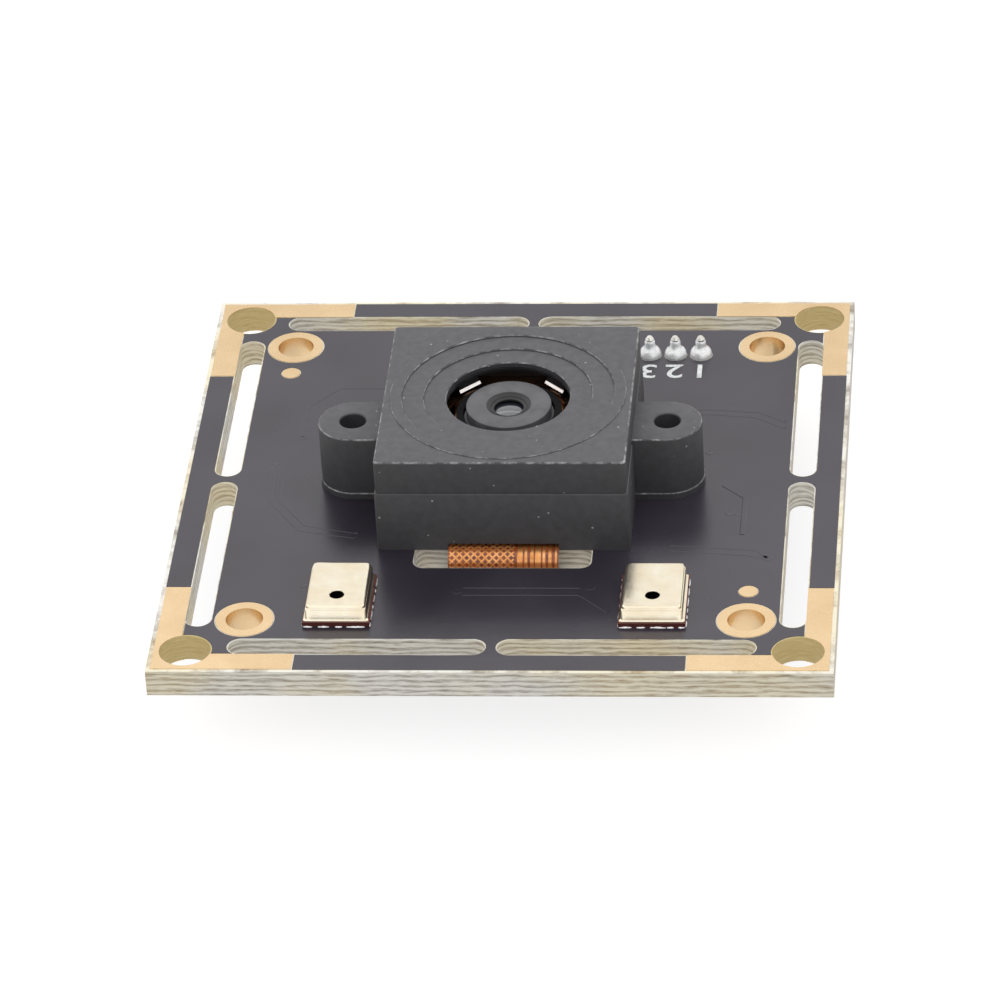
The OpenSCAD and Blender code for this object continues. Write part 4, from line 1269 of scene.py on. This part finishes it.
def loose_boxes(node):
    """Box of each separate solid in a CAD node, in millimetres."""
    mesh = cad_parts[node].data
    corners = [v.co / MM for v in mesh.vertices]
    keys = {}
    parent = list(range(len(corners)))

    def find(i):
        while parent[i] != i:
            parent[i] = parent[parent[i]]
            i = parent[i]
        return i

    for i, co in enumerate(corners):
        key = tuple(round(c, 3) for c in co)
        parent[i] = find(keys.setdefault(key, i))
    for face in mesh.polygons:
        for i in face.vertices[1:]:
            parent[find(i)] = find(face.vertices[0])
    groups = {}
    for i, co in enumerate(corners):
        groups.setdefault(find(i), []).append(co)
    boxes = []
    for members in groups.values():
        low = Vector([min(c[k] for c in members) for k in range(3)])
        high = Vector([max(c[k] for c in members) for k in range(3)])
        boxes.append((low, high))
    return boxes


def make_chip(name, node, notch):
    """Moulded chip body with drafted sides and a pin-one dimple."""
    low, high = box_mm(node)
    shape = Shape()
    mid = (low.z + high.z) / 2
    rings = []
    centre, hx, hy = footprint(low, high)
    steps = [(0.4, low.z), (0.16, low.z), (0.1, low.z + 0.03), (0, mid)]
    steps += [(0.1, high.z - 0.03), (0.14, high.z), (0.4, high.z)]
    for inset, z in steps:
        rings.append(round_rect(hx - inset, hy - inset, 0.1, z, centre))
    shape.loft(rings)
    at = (low.x + notch, high.y - notch)
    shape.lathe(over(low.z, [(0.3, -0.004), (0.27, 0.01), (0.01, 0.012)]), at, 32, 1)
    shape.piece(name, BOARD, ["resin", "black"], [node])


def make_inductor():
    """Drum core with visible windings."""
    low, high = box_mm("inductor")
    centre = footprint(low, high)[0]
    shape = Shape()
    shape.soft_box((low.x, low.y, high.z - 0.25), (high.x, high.y, high.z), 0.3, 0.04)
    shape.lathe(over(low.z, [(1.4, 0), (1.45, 0.04), (1.45, 0.26), (1.4, 0.3)]), centre, 64)
    profile = []
    wires = 6
    pitch = (high.z - 0.25 - low.z - 0.3) / wires
    for i in range(wires):
        for step in range(4):
            a = math.pi * step / 4
            z = low.z + 0.3 + pitch * (i + (1 - math.cos(a)) / 2)
            profile.append((1.05 + 0.06 * math.sin(a), z))
    # The windings take the coil's copper, darkened as painted shade for the motor's gap.
    shape.lathe(profile, centre, 64, 1)
    shape.piece("drum_inductor", BOARD, ["ferrite", "copper"], ["inductor"])


def make_crystal():
    """Seam-welded metal can on a ceramic base."""
    low, high = box_mm("crystal")
    shape = Shape()
    shape.soft_box((low.x, low.y, high.z - 0.5), (high.x, high.y, high.z), 0.12, 0.03, 1)
    inset = 0.15
    can_low = (low.x + inset, low.y + inset, low.z)
    shape.soft_box(can_low, (high.x - inset, high.y - inset, high.z - 0.45), 0.25, 0.06)
    shape.piece("crystal_can", BOARD, ["steel", "ceramic"], ["crystal"])


# ---------- finishes of the CAD nodes that stay ----------

STAYING = {
    "circuit_board": "fibre", "corner_lands": "gold", "hole_rings": "gold", "sighting_dots": "gold",
    "housing_screws": "steel", "left_microphone_base": "base", "right_microphone_base": "base",
    "microphone_chips": "silicon", "sensor_board": "green", "image_sensor": "sensor",
    "filter_glass": "filter",
    # The leaf springs' bronze is darkened as painted shade for the gap inside the motor.
    "motor_base": "black", "motor_magnets": "magnet", "lower_leaf_spring": "leaf",
    "upper_leaf_spring": "leaf", "lens_carrier": "carrier", "middle_lens": "glass", "rear_lens": "glass",
    "lens_spacer": "black", "flex_cable": "film", "flex_stiffener": "steel", "flex_plug": "black",
    "flex_socket": "ivory", "header_shell": "white", "header_pins": "tin", "controller_leads": "tin",
    "memory_leads": "tin", "voltage_regulators": "regulator",
}


def finish_nodes():
    """Gives every CAD node that stays visible its look."""
    for node, look in STAYING.items():
        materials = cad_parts[node].data.materials
        materials.clear()
        materials.append(LOOKS[look])


# ---------- the scene ----------

bpy.context.scene.view_settings.view_transform = "Standard"
make_camera()
make_world()
make_floor()
add_softbox("key_window", 0, 84, (1.2, 1.2), 1.1)
add_softbox("front_fill", 180, 25, (1.2, 0.7), 0.2)
add_softbox("low_fill", 180, -70, (1.0, 1.0), 0.25)
finish_nodes()
make_mask("solder_mask_top", Z_TOP, 1, True)
make_mask("solder_mask_bottom", 0, -1, False)
make_traces()
make_pin_numbers()
make_housing()
make_yoke()
make_coil()
make_barrel()
make_front_lens()
make_flex_tracks()
make_microphone("left_microphone")
make_microphone("right_microphone")
make_solder_joints()
make_chip_parts("capacitor_blocks", "capacitors", "ceramic", None)
make_chip_parts("resistor_blocks", "resistors", "alumina", "film_black")
make_chip("controller_body", "controller_chip", 0.9)
make_chip("memory_body", "memory_chip", 0.7)
make_inductor()
make_crystal()
